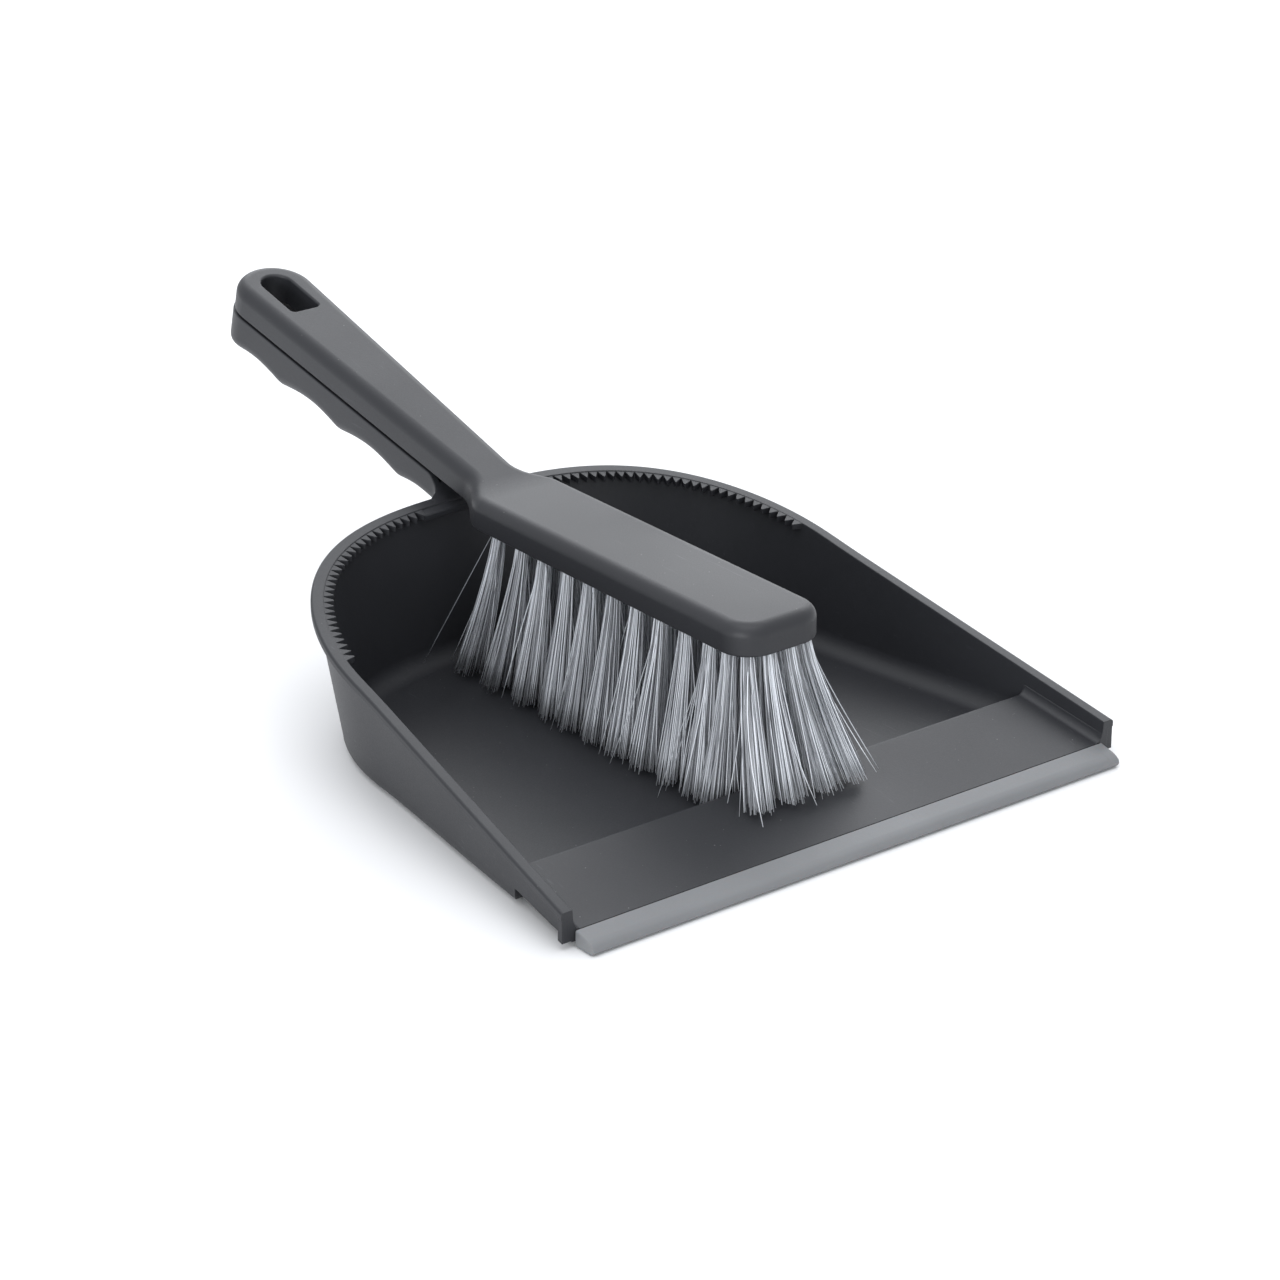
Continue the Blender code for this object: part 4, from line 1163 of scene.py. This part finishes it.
def relief(tree, shader, height, depth, edge):
    """A Bump of that depth over eased edges of that radius, into the shader's Normal."""
    eased = tree.nodes.new("ShaderNodeBevel")
    eased.samples = 4
    eased.inputs["Radius"].default_value = edge
    bump = tree.nodes.new("ShaderNodeBump")
    bump.inputs["Strength"].default_value = 1.0
    bump.inputs["Distance"].default_value = depth
    tree.links.new(height, bump.inputs["Height"])
    tree.links.new(eased.outputs["Normal"], bump.inputs["Normal"])
    tree.links.new(bump.outputs["Normal"], shader.inputs["Normal"])


def plastic_material(finish, groups):
    """Charcoal moulded plastic: satin grain, slow changes of tone, faint scuffs and a little dust."""
    made, tree, shader, place = start_material("charcoal_plastic")
    grain = use_group(tree, groups["grain"], place, Grains_per_metre=2400.0, Coarse_share=0.4)
    marks = use_group(tree, groups["handling"], place, Patches_per_metre=13.0, Scuffs_per_metre=1000.0,
                      Scuff_amount=0.45)
    dust = use_group(tree, groups["dust"], place, Specks_per_metre=1500.0, Amount=0.35)
    tree.links.new(tree.nodes.new("ShaderNodeNewGeometry").outputs["Normal"], dust.inputs["Normal"])
    patchy = mixed(tree, marks.outputs["Patch"], finish.plastic, finish.rubbed)
    scuffed = mixed(tree, marks.outputs["Scuff"], patchy,
                    tuple(min(v * 2.1, 1.0) for v in finish.rubbed))
    dusty = mixed(tree, dust.outputs["Mask"], scuffed, DUST_COLOUR)
    tree.links.new(dusty, shader.inputs["Base Color"])
    rough = math_node(tree, "MULTIPLY", marks.outputs["Patch"], -0.05)
    rough = math_node(tree, "ADD", rough, 0.47)
    rough = math_node(tree, "ADD", rough, math_node(tree, "MULTIPLY", grain.outputs["Mask"], 0.06))
    rough = math_node(tree, "ADD", rough, math_node(tree, "MULTIPLY", marks.outputs["Scuff"], -0.12),
                      clamp=True)
    tree.links.new(rough, shader.inputs["Roughness"])
    shader.inputs["IOR"].default_value = 1.49
    relief(tree, shader, grain.outputs["Height"], 0.000022, 0.00032)
    return made


def rubber_material(finish, groups):
    """Grey thermoplastic rubber: matte, a soft bloom, faint rub marks scattered over it."""
    made, tree, shader, place = start_material("grey_lip_rubber")
    grain = use_group(tree, groups["grain"], place, Grains_per_metre=1600.0, Coarse_share=0.7)
    marks = use_group(tree, groups["handling"], place, Patches_per_metre=22.0, Scuffs_per_metre=700.0,
                      Scuff_amount=0.5)
    bloom = mixed(tree, marks.outputs["Patch"], finish.rubber, tuple(v * 1.1 for v in finish.rubber))
    rubbed = mixed(tree, marks.outputs["Scuff"], bloom, tuple(v * 0.72 for v in finish.rubber))
    tree.links.new(rubbed, shader.inputs["Base Color"])
    rough = math_node(tree, "ADD", math_node(tree, "MULTIPLY", grain.outputs["Mask"], 0.08), 0.5)
    tree.links.new(rough, shader.inputs["Roughness"])
    shader.inputs["Subsurface Weight"].default_value = 0.08
    shader.inputs["Subsurface Scale"].default_value = 0.001
    relief(tree, shader, grain.outputs["Height"], 0.00002, 0.0002)
    return made


def filament_material(finish):
    """Drawn filament: silver grey, each its own tone, a little paler at the cut ends, glossy along
    its length."""
    made, tree, shader, place = start_material("grey_filament")
    tone = tree.nodes.new("ShaderNodeAttribute")
    tone.attribute_name = "tone"
    reach = tree.nodes.new("ShaderNodeAttribute")
    reach.attribute_name = "reach"
    own = mixed(tree, spread_out(tree, tone.outputs["Fac"], 0.0, 0.95), finish.filament_dark,
                finish.filament)
    pale = math_node(tree, "MULTIPLY", spread_out(tree, reach.outputs["Fac"], 0.9, 1.0), 0.35)
    tree.links.new(mixed(tree, pale, own, CUT_END_COLOUR), shader.inputs["Base Color"])
    streak = noise(tree, place, 420.0, 1.0)
    rough = math_node(tree, "ADD", math_node(tree, "MULTIPLY", streak, 0.2), 0.22)
    tree.links.new(rough, shader.inputs["Roughness"])
    shader.inputs["IOR"].default_value = 1.53
    shader.inputs["Specular IOR Level"].default_value = 0.7
    return made


def wire_material(finish, groups):
    """Plated steel wire, slightly dull, with draw marks."""
    made, tree, shader, place = start_material("anchor_wire")
    marks = use_group(tree, groups["handling"], place, Patches_per_metre=160.0, Scuffs_per_metre=2500.0,
                      Scuff_amount=0.6)
    tree.links.new(mixed(tree, marks.outputs["Patch"], finish.wire,
                         tuple(v * 0.8 for v in finish.wire)),
                   shader.inputs["Base Color"])
    shader.inputs["Metallic"].default_value = 1.0
    tree.links.new(math_node(tree, "ADD", math_node(tree, "MULTIPLY", marks.outputs["Scuff"], 0.3),
                             0.32),
                   shader.inputs["Roughness"])
    return made


def floor_material(finish, groups):
    made, tree, shader, place = start_material("pale_floor")
    marks = use_group(tree, groups["handling"], place, Patches_per_metre=2.0)
    tree.links.new(mixed(tree, marks.outputs["Patch"], finish.floor,
                         tuple(v * 0.985 for v in finish.floor)),
                   shader.inputs["Base Color"])
    shader.inputs["Roughness"].default_value = 0.8
    return made


def look(name):
    """One of the set's materials, all of them made together the first time that one is asked for."""
    if name not in bpy.data.materials:
        finish = plain_values(bpy.context.scene.dustpan_finishes)
        groups = {"grain": mould_grain_group(), "handling": handling_group(), "dust": dust_group()}
        plastic_material(finish, groups)
        rubber_material(finish, groups)
        filament_material(finish)
        wire_material(finish, groups)
        floor_material(finish, groups)
    return bpy.data.materials[name]


# ---------------------------------------------------------------- operators

class DUSTPAN_OT_pan(bpy.types.Operator):
    """Builds the dustpan's moulding: tray, rim with comb, ramp and handle"""
    bl_idname = "dustpan_set.pan"
    bl_label = "Dustpan"

    def execute(self, context):
        pan = make_pan(plain_values(context.scene.dustpan_pan),
                       plain_values(context.scene.dustpan_brush))
        dress(pan, look("charcoal_plastic"), "dustpan", ["pan"])
        return {"FINISHED"}


class DUSTPAN_OT_lip(bpy.types.Operator):
    """Builds the soft lip along the front edge"""
    bl_idname = "dustpan_set.lip"
    bl_label = "Lip"

    def execute(self, context):
        lip = make_lip(plain_values(context.scene.dustpan_pan))
        dress(lip, look("grey_lip_rubber"), "dustpan", ["lip_strip"])
        return {"FINISHED"}


class DUSTPAN_OT_brush_body(bpy.types.Operator):
    """Builds the brush's block and handle with its drilled sockets"""
    bl_idname = "dustpan_set.brush_body"
    bl_label = "Brush body"

    def execute(self, context):
        body = make_body(plain_values(context.scene.dustpan_brush))
        dress(body, look("charcoal_plastic"), "brush", ["brush_body"])
        return {"FINISHED"}


class DUSTPAN_OT_bristles(bpy.types.Operator):
    """Builds the filaments of every tuft, one piece for each row"""
    bl_idname = "dustpan_set.bristles"
    bl_label = "Bristles"

    def execute(self, context):
        f = plain_values(context.scene.dustpan_bristles)
        s = plain_values(context.scene.dustpan_pan)
        b = plain_values(context.scene.dustpan_brush)
        rng = np.random.default_rng(f.seed)
        facts = tuft_facts()
        rows = {"left_outer": ("left_outer", "left_corner"), "left_inner": ("left_inner", "left_front"),
                "right_outer": ("right_outer", "right_corner"),
                "right_inner": ("right_inner", "right_front")}
        for row, kinds in rows.items():
            mine = [fact for fact in facts if any(kind in fact[0] for kind in kinds)]
            if not mine:
                raise RuntimeError(f"the frame has no tufts of the row {row}")
            names, roots, tips, spreads = zip(*mine)
            roots = np.array(roots)
            roots[:, 2] = b.part_z
            paths = filament_paths(roots, np.array(tips), np.array(spreads), f, s, rng, b.part_z)
            if row == "left_outer":
                paths[names.index("tuft_left_outer_01"),
                      0] = stray_path(roots[names.index("tuft_left_outer_01")])
            threads = filament_mesh(f"bristles_{row}", paths, f.width, rng)
            dress(threads, look("grey_filament"), "brush", names)
        return {"FINISHED"}


def stray_path(root):
    """The one filament that leaves the rear tuft: straight from the socket's edge, back and
    outwards."""
    t = np.linspace(0, 1, STATIONS)[:, None]
    return root + STRAY_FROM + np.array(STRAY_TO) * t


class DUSTPAN_OT_anchors(bpy.types.Operator):
    """Builds the bent wires that hold the tufts in their sockets"""
    bl_idname = "dustpan_set.anchors"
    bl_label = "Tuft anchors"

    def execute(self, context):
        wires = make_anchors(plain_values(context.scene.dustpan_brush))
        dress(wires, look("anchor_wire"), "brush")
        return {"FINISHED"}


def softbox(key, power, tint):
    """A rectangular area light at its place in SOFTBOXES, facing its aim."""
    place, aim, size = SOFTBOXES[key]
    name = f"{key}_softbox"
    data = bpy.data.lights.new(name, "AREA")
    data.shape = "RECTANGLE"
    data.size, data.size_y = size
    data.energy = power
    data.color = tint
    light = bpy.data.objects.new(name, data)
    light.location = place
    light.rotation_euler = (Vector(aim) - Vector(place)).to_track_quat("-Z", "Y").to_euler()
    bpy.context.scene.collection.objects.link(light)


class DUSTPAN_OT_stage(bpy.types.Operator):
    """Builds the pale floor, the softboxes and the camera"""
    bl_idname = "dustpan_set.stage"
    bl_label = "Stage"

    def execute(self, context):
        scene = context.scene
        v = scene.dustpan_stage
        row = FLOOR_STEPS + 1
        steps = np.linspace(-FLOOR_REACH, FLOOR_REACH, row)
        x, y = np.meshgrid(steps, steps)
        points = np.column_stack([x.ravel(), y.ravel(), np.full(x.size, FLOOR_Z)])
        corner = (np.arange(FLOOR_STEPS)[:, None] * row + np.arange(FLOOR_STEPS)[None, :]).ravel()
        faces = np.column_stack([corner, corner + 1, corner + row + 1, corner + row]).tolist()
        mesh = bpy.data.meshes.new("floor")
        mesh.from_pydata(points.tolist(), [], faces)
        floor = bpy.data.objects.new("floor", mesh)
        scene.collection.objects.link(floor)
        floor.data.materials.append(look("pale_floor"))

        world = bpy.data.worlds.new("white_surround")
        world.use_nodes = True
        sky = world.node_tree.nodes["Background"]
        sky.inputs["Color"].default_value = (*v.sky_colour, 1.0)
        sky.inputs["Strength"].default_value = v.sky
        scene.world = world
        softbox("back", v.back_light, v.sky_colour)
        softbox("top", v.top_light, v.sky_colour)
        softbox("left", v.left_light, v.sky_colour)
        scene.view_settings.view_transform = "Standard"

        data = bpy.data.cameras.new("camera")
        data.lens = v.lens
        data.sensor_width = 36.0
        data.clip_start = 0.01
        camera = bpy.data.objects.new("camera", data)
        back = Vector((-math.sin(v.azimuth) * math.cos(v.elevation),
                       -math.cos(v.azimuth) * math.cos(v.elevation),
                       math.sin(v.elevation)))
        camera.location = Vector((v.target_x, v.target_y, v.target_z)) + back * v.distance
        camera.rotation_euler = (-back).to_track_quat("-Z", "Y").to_euler()
        scene.collection.objects.link(camera)
        scene.camera = camera
        return {"FINISHED"}


class DUSTPAN_PT_panel(bpy.types.Panel):
    """The set's sizes, finishes and building steps"""
    bl_idname = "DUSTPAN_PT_panel"
    bl_label = "Dustpan and brush"
    bl_space_type = "VIEW_3D"
    bl_region_type = "UI"
    bl_category = "Dustpan set"

    def draw(self, context):
        for step in STEPS:
            self.layout.operator(step.bl_idname)
        for key, kind in SETTINGS.items():
            box = self.layout.box()
            box.label(text=key.removeprefix("dustpan_").capitalize())
            for field in kind.__annotations__:
                box.prop(getattr(context.scene, key), field)


STEPS = (DUSTPAN_OT_stage, DUSTPAN_OT_pan, DUSTPAN_OT_lip, DUSTPAN_OT_brush_body, DUSTPAN_OT_bristles,
         DUSTPAN_OT_anchors)
SETTINGS = {"dustpan_pan": PanSizes, "dustpan_brush": BrushSizes, "dustpan_bristles": BristleSizes,
            "dustpan_finishes": Finishes, "dustpan_stage": StageSettings}


def register():
    for kind in (*SETTINGS.values(), *STEPS, DUSTPAN_PT_panel):
        bpy.utils.register_class(kind)
    for key, kind in SETTINGS.items():
        setattr(bpy.types.Scene, key, PointerProperty(type=kind))


def unregister():
    for key in SETTINGS:
        delattr(bpy.types.Scene, key)
    for kind in (DUSTPAN_PT_panel, *reversed(STEPS), *reversed(SETTINGS.values())):
        bpy.utils.unregister_class(kind)


def main():
    register()
    bpy.ops.dustpan_set.stage()
    bpy.ops.dustpan_set.pan()
    bpy.ops.dustpan_set.lip()
    bpy.ops.dustpan_set.brush_body()
    bpy.ops.dustpan_set.bristles()
    bpy.ops.dustpan_set.anchors()
    bpy.context.view_layer.update()


if __name__ == "__main__":
    main()
